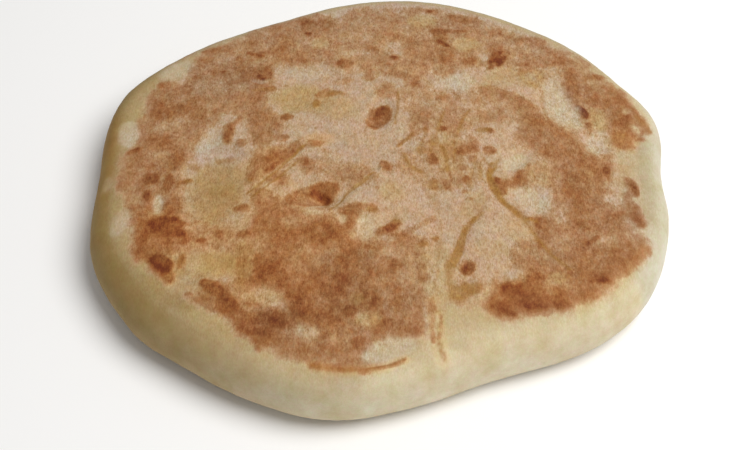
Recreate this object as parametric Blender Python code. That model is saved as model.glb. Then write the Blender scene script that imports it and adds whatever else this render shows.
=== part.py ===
"""A bazlama: a thick round flatbread that was browned on a hot plate.

The bread lies on its flat underside with +Z up, and the middle of its box stands over the
origin. Steep puffed flanks carry a nearly flat top. The top has hollows where the dough never
touched the plate, craters where bubbles burst, swells that the plate browned, and creases
where the dough was folded.

Bearings are in degrees, anticlockwise from +X as seen from above. Lengths are in metres.
"""

from collections import namedtuple
from math import atan2, cos, degrees, exp, hypot, pi, radians, sin

import bmesh
import bpy

MM = 0.001

# The round of the bread at its widest level, before its swells.
HALF_WIDTH = 100 * MM
HALF_DEPTH = 93 * MM

# Heights above the surface that it lies on.
WIDEST_LEVEL = 9 * MM
RIM_HEIGHT = 20 * MM
DOME_RISE = 2.6 * MM

# How far the flank comes in from the widest level, down to the foot and up to the rim.
FOOT_INSET = 9 * MM
RIM_INSET = 8 * MM

# 2 is a quarter of an ellipse, and more is a squarer shoulder.
FOOT_ROUNDNESS = 2.0
SHOULDER_ROUNDNESS = 2.3

# The relief on the top fades out at the rim, later the higher this is.
RELIEF_REACH = 16

# The mesh: cells along each side of the top's grid, and rows down the flank.
TOP_CELLS = 50
FOOT_ROWS = 5
SHOULDER_ROWS = 7

CRUST_COLOUR = (0.52, 0.34, 0.19, 1.0)
CRUST_ROUGHNESS = 0.8
SHARP_EDGE = radians(60)

# A soft change of a size round the bread, strongest at its bearing.
Swell = namedtuple("Swell", "bearing spread amount")

OUTLINE_SWELLS = (
    Swell(17, 9, 3.8 * MM),  # right rear corner
    Swell(38, 12, 1.4 * MM),
    Swell(78, 12, 0.8 * MM),
    Swell(117, 18, -4.4 * MM),  # flat stretch at the left rear
    Swell(157, 12, 4.4 * MM),  # left rear corner
    Swell(180, 9, -1.4 * MM),
    Swell(-158, 14, 3.2 * MM),  # left front corner
    Swell(-142, 7, 1.8 * MM),
    Swell(-104, 9, 0.8 * MM),
    Swell(-86, 8, -0.9 * MM),
    Swell(-66, 21, -9.2 * MM),  # long flat stretch at the right front
    Swell(-30, 14, 1.5 * MM),
    Swell(1, 8, -2.2 * MM),  # dent in the right side
)
RIM_INSET_SWELLS = (
    Swell(180, 30, 1.0 * MM),
    Swell(-145, 34, 8.0 * MM),  # broad round shoulder at the left front
    Swell(-40, 24, 3.0 * MM),
)
RIM_HEIGHT_SWELLS = (
    Swell(180, 30, -0.5 * MM),
    Swell(-95, 30, 0.5 * MM),
)

# Bearings and radii run from here, which puts the middle of the bread's box over the origin.
POLE_X = -0.24 * MM
POLE_Y = -0.67 * MM

# The marks on the top have their places and sizes in millimetres and their turns in degrees.
# An oval is a hollow where its rise is negative. A steepness of 2 is a soft slope, and 4 is a
# level floor with a definite edge.
Oval = namedtuple("Oval", "x y long wide turn rise steepness")

CRATERS = (
    Oval(-0.5, 26.5, 7.5, 4.8, 80, -2.8, 4),
    Oval(-3.8, 20.8, 3.2, 2.8, 0, -1.2, 2),
    Oval(-23, -12.5, 8.5, 5.5, -12, -2.2, 4),
    Oval(-20.5, -13.5, 4.2, 2.2, -60, -1.2, 2),
    Oval(27.5, -43, 3.8, 3.2, 90, -1.5, 2),
)
HOLLOWS = (
    Oval(-58, -8, 19, 12, 80, -1.6, 4),
    Oval(-53, -41, 10, 8, -30, -1.0, 4),
    Oval(-75.8, -15.5, 5.5, 2.6, 90, -0.7, 2),
    Oval(-61, 13, 8, 4.5, 60, -0.6, 2),
    Oval(-37, -55.5, 6.5, 3.8, 0, -0.8, 2),
    Oval(2.5, -75, 9, 4, 5, -0.9, 2),
    Oval(-5.5, -28, 6, 3.2, 80, -0.6, 2),
    Oval(-28, 36, 13, 9, 10, -0.7, 4),
    Oval(-9, 11, 14, 11, -20, -0.6, 4),
    Oval(14, -21, 17, 13, -20, -0.8, 4),
    Oval(27, 42, 11, 6, 10, -0.6, 2),
    Oval(45, 3, 8, 4, 35, -0.7, 4),
    Oval(49, -14, 8, 5, -35, -0.8, 4),
    Oval(64, 31, 14, 6, -71, -1.4, 4),
    Oval(75.5, 13, 6.5, 5, 60, -1.0, 4),
)
RISES = (
    Oval(-62, 30, 26, 20, 40, 0.9, 2),
    Oval(-38, 3, 12, 7, 60, 0.7, 2),
    Oval(-74, -30, 16, 9, 80, 0.9, 2),
    Oval(-22, -52, 30, 24, -20, 1.1, 2),
    Oval(10, 61, 32, 14, 0, 0.6, 2),
    Oval(37, -30, 12, 9, 60, 0.9, 2),
    Oval(46, -55, 15, 9, 10, 0.8, 2),
    Oval(66, 2, 26, 12, -60, 0.8, 2),
    Oval(70, -36, 22, 16, -60, 0.6, 2),
)

# A furrow along a line of points, deepest in its middle and running out at its ends.
Crease = namedtuple("Crease", "points width depth")

# The long crease right of the middle, the one in front of it, the lip at the front edge,
# and three faint ones.
CREASES = (
    Crease(((41, 4), (37.5, 0), (36.3, -6), (38, -11), (46, -21), (51, -31), (58, -40)), 3.4, 1.4),
    Crease(((32.5, -20), (28.5, -25), (25.5, -34), (21.5, -44)), 3.4, 1.4),
    Crease(((-23, -81), (-13, -83.7), (-1, -82.5), (8, -78.5)), 3.2, 1.0),
    Crease(((-3, -4), (-11, -11), (-17, -19)), 3.2, 0.5),
    Crease(((-46, -12), (-36, -2), (-26, 11)), 3.2, 0.6),
    Crease(((58, 39), (57.3, 32), (58, 26)), 3.2, 0.7),
)


def clear_scene():
    for old in list(bpy.data.objects):
        bpy.data.objects.remove(old, do_unlink=True)


def around(bearing, size, swells):
    """A size that changes round the bread."""
    for swell in swells:
        apart = (bearing - swell.bearing + 180) % 360 - 180
        size += swell.amount * exp(-((apart / swell.spread) ** 2))
    return size


def widest_radius(bearing):
    turn = radians(bearing)
    ellipse = 1 / hypot(cos(turn) / HALF_WIDTH, sin(turn) / HALF_DEPTH)
    return around(bearing, ellipse, OUTLINE_SWELLS)


def rim_radius(bearing):
    return widest_radius(bearing) - around(bearing, RIM_INSET, RIM_INSET_SWELLS)


def rim_height(bearing):
    return around(bearing, RIM_HEIGHT, RIM_HEIGHT_SWELLS)


def quarter_round(share, roundness):
    """How far out and how far along a rounded quarter is, both from 0 to 1."""
    turn = share * pi / 2
    return cos(turn) ** (2 / roundness), sin(turn) ** (2 / roundness)


def shoulder_point(bearing, share):
    """Radius and height from the widest level, at share 0, up to the rim, at share 1."""
    out, up = quarter_round(share, SHOULDER_ROUNDNESS)
    rim = rim_radius(bearing)
    radius = rim + (widest_radius(bearing) - rim) * out
    return radius, WIDEST_LEVEL + (rim_height(bearing) - WIDEST_LEVEL) * up


def foot_point(bearing, share):
    """Radius and height from the widest level, at share 0, down to the foot, at share 1."""
    out, down = quarter_round(share, FOOT_ROUNDNESS)
    return widest_radius(bearing) - FOOT_INSET * (1 - out), WIDEST_LEVEL * (1 - down)


def oval_rise(x, y, oval):
    turn = radians(oval.turn)
    along = ((x - oval.x) * cos(turn) + (y - oval.y) * sin(turn)) / oval.long
    across = ((y - oval.y) * cos(turn) - (x - oval.x) * sin(turn)) / oval.wide
    return oval.rise * exp(-(hypot(along, across) ** oval.steepness))


def crease_depth(x, y, crease):
    nearest, along = 1e9, 0.0
    legs = list(zip(crease.points, crease.points[1:]))
    for number, ((ax, ay), (bx, by)) in enumerate(legs):
        span = (bx - ax) ** 2 + (by - ay) ** 2
        share = ((x - ax) * (bx - ax) + (y - ay) * (by - ay)) / span
        share = min(max(share, 0.0), 1.0)
        apart = hypot(x - ax - share * (bx - ax), y - ay - share * (by - ay))
        if apart < nearest:
            nearest, along = apart, (number + share) / len(legs)
    taper = 1 - abs(2 * along - 1) ** 4
    return crease.depth * taper * exp(-((nearest / crease.width) ** 2))


def relief(x, y):
    """How far the marks lift the top at a place, all in millimetres."""
    lift = sum(oval_rise(x, y, oval) for oval in CRATERS + HOLLOWS + RISES)
    return lift - sum(crease_depth(x, y, crease) for crease in CREASES)


def place(bearing, radius, height):
    """The point at a bearing and a radius from the pole."""
    turn = radians(bearing)
    return POLE_X + radius * cos(turn), POLE_Y + radius * sin(turn), height


def top_point(bearing, share):
    """A point of the top from its middle, at share 0, out to the rim, at share 1."""
    height = rim_height(bearing) + DOME_RISE * (1 - share**2) ** 2
    x, y, height = place(bearing, share * rim_radius(bearing), height)
    return x, y, height + relief(x / MM, y / MM) * MM * (1 - share**RELIEF_REACH)


def on_disc(u, v):
    """Bearing and share of the radius for a place on a square that spans -1 to 1."""
    if abs(u) >= abs(v):
        bearing = 45 * v / u if u else 0.0
        return (bearing, u) if u >= 0 else (bearing + 180, -u)
    bearing = 90 - 45 * u / v
    return (bearing, v) if v >= 0 else (bearing + 180, -v)


def lay_top(mesh):
    """A square grid, pressed round until its border is the rim."""
    bmesh.ops.create_grid(mesh, x_segments=TOP_CELLS, y_segments=TOP_CELLS, size=1)
    for vert in mesh.verts:
        vert.co = top_point(*on_disc(vert.co.x, vert.co.y))


def add_row(mesh, edges, flank_point, share):
    """Extrudes the lowest ring of edges to the next level of the flank."""
    made = bmesh.ops.extrude_edge_only(mesh, edges=edges)["geom"]
    for vert in (item for item in made if isinstance(item, bmesh.types.BMVert)):
        bearing = degrees(atan2(vert.co.y - POLE_Y, vert.co.x - POLE_X))
        vert.co = place(bearing, *flank_point(bearing, share))
    return [item for item in made if isinstance(item, bmesh.types.BMEdge)]


def lay_flank(mesh):
    """Rows from the rim over the shoulder and under to the foot, then the flat underside."""
    ring = [edge for edge in mesh.edges if edge.is_boundary]
    for row in range(SHOULDER_ROWS - 1, -1, -1):
        ring = add_row(mesh, ring, shoulder_point, row / SHOULDER_ROWS)
    for row in range(1, FOOT_ROWS + 1):
        ring = add_row(mesh, ring, foot_point, row / FOOT_ROWS)
    bmesh.ops.contextual_create(mesh, geom=ring)


def crust_material():
    material = bpy.data.materials.new("crust")
    material.use_nodes = True
    shader = material.node_tree.nodes["Principled BSDF"]
    shader.inputs["Base Color"].default_value = CRUST_COLOUR
    shader.inputs["Roughness"].default_value = CRUST_ROUGHNESS
    shader.inputs["Metallic"].default_value = 0.0
    return material


def make_bread():
    shape = bmesh.new()
    lay_top(shape)
    lay_flank(shape)
    bmesh.ops.recalc_face_normals(shape, faces=shape.faces)
    mesh = bpy.data.meshes.new("bread")
    shape.to_mesh(mesh)
    shape.free()
    mesh.shade_smooth()
    mesh.set_sharp_from_angle(angle=SHARP_EDGE)
    mesh.materials.append(crust_material())
    bread = bpy.data.objects.new("bread", mesh)
    bpy.context.scene.collection.objects.link(bread)
    return bread


def main():
    clear_scene()
    make_bread()


main()
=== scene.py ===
"""A bazlama, a thick round flatbread, as the photograph shows it.

The bread is one closed piece that takes the place of the plain solid. Its form comes from the
same named sizes and swells as the solid, and its craters and creases are the solid's, drawn
finer. The browning, the flour, the ochre streaks and the tints are laid on as fields,
blots and streaks, each where the photograph shows it.

Marks have their places and sizes in millimetres. Bearings and turns are in degrees,
anticlockwise from +X as seen from above. Some of the colour is painted light: painted shade
in two craters, on the left side, the back rim and the rim at the right front, a lighter low
flank as if lit from the floor, and one painted highlight on the front flank.
"""

from collections import namedtuple
from math import radians

import bpy
import numpy as np
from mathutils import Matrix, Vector


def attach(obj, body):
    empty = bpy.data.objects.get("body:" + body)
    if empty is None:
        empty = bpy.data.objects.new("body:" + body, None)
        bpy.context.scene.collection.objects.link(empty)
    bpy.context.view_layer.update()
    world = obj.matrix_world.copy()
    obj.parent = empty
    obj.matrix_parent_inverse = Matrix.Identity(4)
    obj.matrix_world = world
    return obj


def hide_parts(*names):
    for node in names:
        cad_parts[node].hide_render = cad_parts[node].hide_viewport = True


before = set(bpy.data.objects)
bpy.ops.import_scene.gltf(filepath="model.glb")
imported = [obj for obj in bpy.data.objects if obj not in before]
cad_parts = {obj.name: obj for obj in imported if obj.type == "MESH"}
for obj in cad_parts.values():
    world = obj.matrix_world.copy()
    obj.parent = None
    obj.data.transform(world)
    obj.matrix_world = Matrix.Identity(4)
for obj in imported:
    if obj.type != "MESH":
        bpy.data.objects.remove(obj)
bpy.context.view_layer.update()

MM = 0.001

# The round of the bread at its widest level, before its swells.
HALF_WIDTH = 100.0
HALF_DEPTH = 93.0

# Heights above the surface that it lies on.
WIDEST_LEVEL = 9.0
RIM_HEIGHT = 20.0
DOME_RISE = 2.6

# How far the flank comes in from the widest level, down to the foot and up to the rim.
FOOT_INSET = 9.0
RIM_INSET = 8.0

# 2 is a quarter of an ellipse, and more is a squarer shoulder.
FOOT_ROUNDNESS = 2.0
SHOULDER_ROUNDNESS = 2.3

# The relief on the top fades out at the rim, later the higher this is.
RELIEF_REACH = 16

# How far the most browned dough stands above pale dough.
TOAST_RISE = 0.45

# The mesh: cells along each side of the top's grid and of the underside's, and flank rows.
TOP_CELLS = 264
UNDER_CELLS = TOP_CELLS // 4
SHOULDER_ROWS = 13
FOOT_ROWS = 8

# Bearings and radii run from here.
POLE_X = -0.24
POLE_Y = -0.67

Swell = namedtuple("Swell", "bearing spread amount")

OUTLINE_SWELLS = (
    Swell(17, 9, 3.8),  # right rear corner
    Swell(38, 12, 1.4),
    Swell(78, 12, 0.8),
    Swell(117, 18, -4.4),  # flat stretch at the left rear
    Swell(157, 12, 4.4),  # left rear corner
    Swell(180, 9, -1.4),
    Swell(-158, 14, 3.2),  # left front corner
    Swell(-142, 7, 1.8),
    Swell(-104, 9, 0.8),
    Swell(-86, 8, -0.9),
    Swell(-66, 21, -9.2),  # long flat stretch at the right front
    Swell(-30, 14, 1.5),
    Swell(1, 8, -2.2),  # dent in the right side
)
RIM_INSET_SWELLS = (
    Swell(180, 30, 1.0),
    Swell(-145, 34, 8.0),  # broad round shoulder at the left front
    Swell(-40, 24, 3.0),
)
RIM_HEIGHT_SWELLS = (Swell(180, 30, -0.5), Swell(-95, 30, 0.5))

# An oval is a hollow where its rise is negative. A steepness of 2 is a soft slope, and 4 is a
# level floor with a definite edge.
Oval = namedtuple("Oval", "x y long wide turn rise steepness")

CRATERS = (
    Oval(-0.5, 25.8, 6.6, 4.4, 82, -1.9, 4),
    Oval(-3.4, 21.0, 2.6, 2.2, 0, -0.9, 2),
    Oval(-23, -12.5, 8.5, 5.5, -12, -2.0, 4),
    Oval(-20.3, -13.5, 3.6, 2.0, -60, -1.6, 2),
    Oval(27.5, -43, 3.0, 2.6, 90, -1.5, 2),
)
HOLLOWS = (
    Oval(-58, -8, 19, 12, 80, -1.6, 4),
    Oval(-53, -41, 10, 8, -30, -1.0, 4),
    Oval(-75.8, -15.5, 5.5, 2.2, 90, -0.7, 2),
    Oval(-61, 13, 8, 4.5, 60, -0.6, 2),
    Oval(-37, -55.5, 6.5, 3.8, 0, -0.8, 2),
    Oval(2.5, -75, 9, 4, 5, -0.9, 2),
    Oval(-5.5, -28, 6, 3.2, 80, -0.6, 2),
    Oval(-28, 36, 13, 9, 10, -0.7, 4),
    Oval(-9, 11, 14, 11, -20, -0.6, 4),
    Oval(14, -21, 17, 13, -20, -0.8, 4),
    Oval(27, 42, 11, 6, 10, -0.6, 2),
    Oval(45, 3, 8, 4, 35, -0.7, 4),
    Oval(49, -14, 8, 5, -35, -0.8, 4),
    Oval(64, 31, 14, 6, -71, -1.4, 4),
    Oval(75.5, 13, 6.5, 5, 60, -1.0, 4),
)
RISES = (
    Oval(-62, 30, 26, 20, 40, 0.9, 2),
    Oval(-38, 3, 12, 7, 60, 0.7, 2),
    Oval(-74, -30, 16, 9, 80, 0.9, 2),
    Oval(-22, -52, 30, 24, -20, 1.1, 2),
    Oval(10, 61, 32, 14, 0, 0.6, 2),
    Oval(37, -30, 12, 9, 60, 0.9, 2),
    Oval(46, -55, 15, 9, 10, 0.8, 2),
    Oval(66, 2, 26, 12, -60, 0.8, 2),
    Oval(70, -36, 22, 16, -60, 0.6, 2),
)

LONG_CREASE = ((38.5, 1), (36.6, -5), (37, -10), (41.5, -17), (46, -22), (51, -31), (58, -40))
FRONT_CREASE = ((33, -20.5), (30, -24), (27, -30), (25, -37), (22.5, -42))
FRONT_LIP = ((-22, -81.5), (-14, -83.4), (-6, -83.5), (1, -82), (7, -79.4))
DIAGONAL_FOLD = ((-3, -4), (-11, -11), (-17, -19))
LEFT_FOLD = ((-46, -12), (-36, -2), (-26, 11))
LENS_FOLD = ((58, 39), (57.3, 32), (58, 26))

# A furrow along a line of points, deepest in its middle and running out at its ends.
Crease = namedtuple("Crease", "points width depth")

CREASES = (
    Crease(LONG_CREASE, 1.7, 0.35),
    Crease(FRONT_CREASE, 1.9, 0.35),
    Crease(FRONT_LIP, 1.4, 0.7),
    Crease(DIAGONAL_FOLD, 1.5, 0.4),
    Crease(LEFT_FOLD, 1.7, 0.4),
    Crease(LENS_FOLD, 1.4, 0.45),
)

# A field is laid inside its outline, a blot is an oval, and a streak follows a line.
# Each sets what is under it to its level, with an edge that fades over soft.
Field = namedtuple("Field", "level soft outline")
Blot = namedtuple("Blot", "x y long wide level soft turn", defaults=(1.0, 0))
Streak = namedtuple("Streak", "level width points soft", defaults=(0.7,))

# How browned the top is. The dark right-hand walls of the crater in the middle and the crater left of the
# middle are partly browning and partly painted shade.
TOAST_AND_SHADE = (
    # fields
    Field(0.12, 5, ((-89, -6), (-88, 10), (-84, 34), (-70, 50), (-52, 64), (-32, 77), (-8, 83), (14, 83),
        (33, 79), (50, 69), (66, 59), (77, 48), (88, 33), (93, 18), (86, 2), (87, -28), (82, -42),
        (66, -57), (52, -61), (38, -62), (32, -58), (20, -58), (17, -66), (12, -76), (-6, -82),
        (-24, -80), (-42, -69), (-56, -55), (-66, -46), (-80, -38))),
    Field(0.39, 2.5, ((-41, 50), (-38, 63), (-30, 65), (-20, 74), (-10, 82), (4, 84), (14, 83), (24, 82),
        (33, 79.5), (40, 76), (44, 71), (50, 69), (58, 66), (63, 61), (70, 58), (76, 52), (72, 48),
        (62, 50), (52, 50.5), (45, 51), (38, 49.5), (33, 50), (27, 47), (20, 46), (16, 38), (10, 38),
        (7, 44), (2, 47), (-4, 46), (-10, 49), (-17, 48), (-20, 53), (-32, 51.5))),
    Field(0.48, 2.1, ((-88.5, -4), (-88, 6), (-86, 10), (-85.5, 20), (-85, 27), (-84, 36), (-83, 40),
        (-81, 45), (-76, 44.5), (-73, 42), (-70, 46), (-68, 54), (-61, 63), (-53, 67.5), (-46, 72),
        (-38, 76), (-32, 79.5), (-24, 81), (-17, 75), (-18, 67), (-30, 65), (-36, 58), (-40.5, 52),
        (-40, 44), (-38.5, 39), (-41, 36), (-40, 30), (-38.5, 24), (-39, 12), (-43, 9), (-46, 13),
        (-47, 24), (-56, 25), (-58, 20), (-62, 19), (-66, 13), (-68, 9), (-68.5, 4), (-70, 1),
        (-72, -4))),
    Field(0.36, 2, ((1, 41), (8, 36), (20, 38), (24, 35), (32, 37), (44, 38), (52, 32), (54, 24),
        (46, 27), (38, 30), (32, 28), (30, 20), (33, 10), (28, 3), (20, -3), (12, -6), (4, -3), (8, 5),
        (14, 12), (9, 13), (7, 20), (8, 30))),
    Field(0.58, 2.2, ((47, 27), (54, 26), (60, 23), (65, 19), (69, 14), (71, 9), (78, 6.5), (80, 2),
        (78, -4), (76, -8), (76, -16), (80, -18), (81, -28), (87, -31), (88, -36), (83.5, -41.5),
        (76.5, -47.5), (71.5, -52), (66, -56), (60, -58), (56, -50), (55, -44), (56, -39), (52, -32),
        (50, -26), (52, -22), (57, -18), (58, -10), (60, -4), (58, 3), (52, 8), (47, 13), (48, 20))),
    Field(0.7, 2.1, ((32, -60), (33, -55), (38, -50), (45, -47.5), (52, -46), (54, -50), (58, -52),
        (62, -56), (59, -60), (52, -61.5), (43, -62), (38, -63.5))),
    Field(0.58, 2.2, ((66, 51), (72, 48), (77, 46.5), (80, 46), (84, 40), (88, 33), (91, 27), (94.5, 19),
        (92, 12.5), (88, 11), (83, 10), (79, 13), (80, 20), (78, 28), (73, 31), (68, 36), (66, 42))),
    Field(0.57, 2.3, ((-43.5, -8), (-37, -12), (-32, -18), (-24, -20), (-17, -19), (-15, -26), (-9, -33),
        (-2, -33), (6, -30), (13, -32), (14, -45), (0, -50), (-30, -40), (-38, -39), (-42, -32))),
    Field(0.62, 2.1, ((-43.5, -40), (-30, -38), (-16, -34), (-8, -36), (0, -40), (13, -44), (12, -52),
        (14, -60), (12.5, -70), (4, -72), (-4, -72), (-8, -79), (-2, -81), (-8, -83), (-20, -81.5),
        (-28, -78), (-32, -75.5), (-38, -74), (-40, -71), (-46, -69), (-50, -63), (-59.5, -53),
        (-59, -48), (-56, -46), (-50, -51), (-46, -57), (-42, -60), (-32, -59.5), (-30, -56), (-32, -53),
        (-40, -52), (-44, -51))),
    Field(0.72, 2.1, ((-83.5, -21), (-80, -19.5), (-70, -20.5), (-67, -25), (-63, -30), (-63.5, -33),
        (-69, -34), (-76, -34.5), (-80, -38), (-83, -34))),
    Field(0.5, 2.1, ((-46, 2), (-44, 8), (-39, 9), (-33, 8), (-28, 12), (-27, 8), (-33, 2), (-37, -1),
        (-41, -5), (-46, -4))),
    Field(0.48, 2, ((-90, 7), (-91, -7), (-88.5, -12), (-87, -3), (-80, -3), (-69, -3), (-68, -12),
        (-67, -20), (-75, -21), (-84, -21), (-86, -18), (-87, -12))),
    Field(0.12, 2.5, ((-67, -3), (-66, 3), (-60, 9), (-52, 9), (-46, 4), (-45, -4), (-46, -14),
        (-50, -22), (-60, -24), (-66, -16))),
    Field(0.36, 2.2, ((-66, -20), (-56, -24), (-46, -20), (-43, -26), (-44, -36), (-44, -48), (-50, -51),
        (-53, -46), (-52, -38), (-58, -36), (-66, -36), (-62, -30))),
    Field(0.08, 2, ((-63, -36), (-58, -35), (-48, -36), (-46, -42), (-47.5, -48.5), (-53, -46.5),
        (-58, -47), (-61, -53), (-68, -52), (-66, -44))),
    Field(0.36, 1.8, ((-34, 2), (-27, 4), (-18, 4), (-11, 2), (-3, -3), (-1, -6), (-5, -9), (-12, -10),
        (-17, -6), (-23, -2), (-31, -1))),
    Field(0.44, 2, ((1, -31), (8, -28), (13, -32), (12, -44), (11, -52), (6, -53), (0, -48))),
    Field(0.5, 2.2, ((-41, -70), (-30, -69), (-18, -68), (-6, -69), (-2, -73), (-8, -79), (-2, -81),
        (-6, -83), (-14, -83), (-22, -81.5), (-29, -79), (-36, -75.5))),
    Field(0.33, 1.6, ((50, 2), (58, 3), (60, -4), (59, -9), (50, -9), (42, -9), (41, -5), (47, -3))),
    Field(0.36, 1.6, ((48, 50), (53, 42), (57, 38), (59, 45), (66, 47), (66, 50), (60, 51))),
    Field(0.25, 1.6, ((30, 21), (33, 16), (33, 10), (27, 12), (12, 8), (9, 13), (12, 18), (20, 17))),
    Field(0.36, 1.6, ((26, 31), (33, 28), (38, 29), (48, 33), (53, 28), (48, 22), (38, 22), (34, 20),
        (30, 17), (26, 20))),
    Field(0.3, 1.6, ((8, 0), (34, 2), (36, -8), (26, -9), (20, -12), (12, -8))),
    Field(0.3, 1.6, ((69, 26), (74, 28), (80, 27), (81, 18), (74, 15), (70, 18))),
    Field(0.3, 1.6, ((52, -17), (61, -16), (63, -22), (60, -26), (54, -22))),
    Field(0.5, 1.8, ((45, -34), (52, -32), (58, -36), (60, -46), (54, -50), (46, -47), (43, -42))),
    Field(0.2, 1.6, ((20, -51), (26, -47), (32, -47), (34, -52), (33, -58), (27, -60), (21, -58))),
    Field(0.02, 1.2, ((42, 3), (46, 7), (52, 8), (50, 1), (45, -3), (41, -3))),
    Streak(0.35, 1.2, ((8, -29), (12, -26.5), (17, -23))),
    Streak(0.16, 1.8, ((-78, 53), (-69, 60.5), (-61, 66)), 2),
    Streak(0.16, 1.8, ((-43, 76), (-28, 81)), 2), Streak(0.52, 1.6, ((68.5, 38), (69.5, 33), (70, 29))),
    Blot(5, 60, 4, 4, 0.2, 2.7), Blot(-36, -4.5, 4, 3.2, 0.48, 2.2, -30), Blot(-38, 18, 3, 6, 0.46, 2.7),
    Blot(-85, 22, 2.4, 4, 0.48, 2), Blot(-66, 14, 2.6, 5, 0.4, 2.7), Blot(-62, 38, 9, 3, 0.38, 2.4, 15),
    Blot(-56, 31, 7, 2.4, 0.4, 2, 10), Blot(-77, 21, 5, 1.8, 0.38, 1.8, 20),
    Blot(-66, 33, 4, 1.6, 0.62, 1.4), Blot(-53, 42, 4, 1.8, 0.62, 1.4, 10), Blot(75, 10, 4, 2, 0.2, 2),
    Blot(-85.5, -14, 2.4, 5, 0.5, 2.4), Blot(-70, -15, 2.4, 4, 0.58, 2),
    Blot(-69.8, -46.5, 2.8, 2.8, 0.78, 1.2), Blot(-78, -35, 3, 5, 0.68, 2.7, 30),
    Blot(-41, -27, 3.2, 6, 0.62, 2.7), Blot(-22, -21.5, 5.5, 2.4, 0.28, 2.4),
    Blot(-10, -24.5, 2, 4, 0.56, 2, -20), Blot(-5, -36, 3.6, 3, 0.38, 2.7),
    Blot(-45, -50.5, 3, 4, 0.46, 2), Blot(-24, -61.5, 6, 4.6, 0.72, 2.7), Blot(-10, -59, 2.2, 4, 0.7, 2),
    # left and left rear
    Blot(-71, 22.5, 11, 3.2, 0.33, 3.1, 20), Blot(-58, 56, 5.5, 2.6, 0.34, 2.4, 20),
    Blot(-66, 50, 5, 3.5, 0.5, 2.7, 50), Blot(-47, 47, 8, 5.5, 0.58, 2.7, 90),
    Blot(-42.5, 46.5, 4.2, 2.6, 0.68, 1, 90), Streak(0.95, 0.8, ((-45.2, 45), (-43, 43.4))),
    Streak(0.95, 0.9, ((-49, 58.2), (-46.5, 57.2), (-44.5, 56))),
    Streak(0.64, 1, ((-46, 37.3), (-42, 38), (-39, 39.3))),
    Streak(0.8, 0.8, ((-37, 60.4), (-32.8, 61.1))), Blot(-63, 60, 4, 1.6, 0.62, 1, 20),
    Blot(-45, 52, 3, 2, 0.36, 1.8), Blot(-60, 57, 3.6, 1.4, 0.34, 1.2, 15),
    Blot(-44, 62, 2.6, 2, 0.34, 1.6, 30), Blot(-79.5, 42, 2.6, 1.6, 0.62, 1, 20),
    Blot(-57.8, 48, 0.9, 0.7, 0.8, 0.5), Blot(-34, 66.5, 7, 5, 0.46, 2.7, 10),
    Blot(-24, 74, 6.5, 4, 0.55, 2.4), Blot(-28.5, 75, 2.4, 2.2, 0.7),
    Blot(-27.5, 68.5, 1.3, 1, 0.98, 0.6), Blot(-34.5, 61, 3.6, 2, 0.6),
    Blot(-76, 28, 6.5, 3.8, 0.64, 2.4), Blot(-80, 13.5, 6.5, 3, 0.6, 2.4, -10),
    Blot(-73, 9, 3, 2.4, 0.6, 2), Blot(-74, 14.5, 3.2, 2, 0.62, 1, 20),
    Streak(0.66, 1, ((-88, 8.2), (-84.5, 10.3))), Blot(-76, 7.4, 6, 1.2, 0.38, 1.2),
    Blot(-71.8, 38.6, 3, 2.4, 0.6, 1.2), Blot(-65, 24.5, 3, 2.6, 0.56, 1.4),
    Blot(-72, 4.5, 5.2, 3.6, 0.64, 2.4, 70), Blot(-80, 3, 5, 2.5, 0.6, 2.4),
    Blot(-79.5, -3.8, 3, 2.8, 0.74), Blot(-54, 16.5, 4.6, 2, 0.66, 1, 84),
    Streak(0.6, 1.1, ((-53, 20), (-50, 23.5))), Blot(-49, 12, 2.1, 1.9, 0.62, 0.8),
    Blot(-33.8, 24, 2.4, 1.9, 0.64), Blot(-43.5, 27, 11, 3, 0.54, 2.4, 90),
    Blot(-39.6, 38.5, 1.6, 1.1, 0.66, 0.7), Streak(0.54, 1.5, ((-45, -4), (-37, 3), (-29, 10))),
    Blot(-38.5, 4, 3, 1.8, 0.64, 1, 40), Streak(0.66, 1, ((-39.5, -2), (-34, 3.4), (-28.2, 9.2))),
    Blot(-38.5, -0.8, 1.8, 0.9, 0.82, 0.6, 30), Blot(-26.8, 2.6, 2.3, 1.6, 0.6, 0.8, 90),
    Blot(-26.2, -1.4, 1.9, 1.5, 0.48, 0.8), Blot(-18, 6.2, 2.6, 1.8, 0.34, 1.2, -20),
    Blot(-23.8, 11, 3.2, 1.6, 0.5), Blot(-34.6, 13.2, 2, 1.8, 0.62, 0.9, 20),
    Streak(0.52, 1, ((-23, 35.6), (-19.6, 38.2), (-16, 36.4), (-14.4, 36))),
    Blot(-19.8, 36.2, 3.2, 1.8, 0.46), Blot(-17.4, 36.2, 1.6, 0.9, 0.7, 0.6),
    Blot(-23.4, 31.4, 2.1, 1.2, 0.5, 0.8, 80), Blot(-14, 42, 3.8, 1.8, 0.38, 1, 20),
    Blot(-5, 44, 2.4, 1.6, 0.42), Blot(-13.8, 51.4, 3.3, 2.2, 0.62),
    Blot(-15.4, 51.8, 1.4, 1.4, 0.74, 0.8), Blot(-28, 56.5, 9.5, 4.6, 0.46, 2.5),
    Streak(0.58, 1.1, ((-34.5, 54), (-22.5, 53.5))), Blot(-11.4, 59.2, 2.6, 1.6, 0.58),
    Blot(-3.8, 59.4, 2.6, 1.6, 0.6), Blot(-23.5, 63, 3.6, 2.6, 0.1, 2.4),
    Blot(-10, 65.5, 7, 4, 0.24, 3.1), Blot(-10, 57, 5, 2, 0.24, 2.5, 10),
    Blot(-9, 76, 6, 4, 0.44, 2.7, 10), Blot(1.3, -0.2, 2.9, 1.8, 0.6, 0.8, -50),
    Blot(2, -1.2, 1.1, 0.9, 0.7, 0.6), Blot(-1.8, -10.5, 0.9, 0.8, 0.42, 0.5),
    Blot(12.5, -2.5, 4, 2, 0.36, 1.2),
    # crater in the middle, its dark right-hand wall partly painted shade
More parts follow.
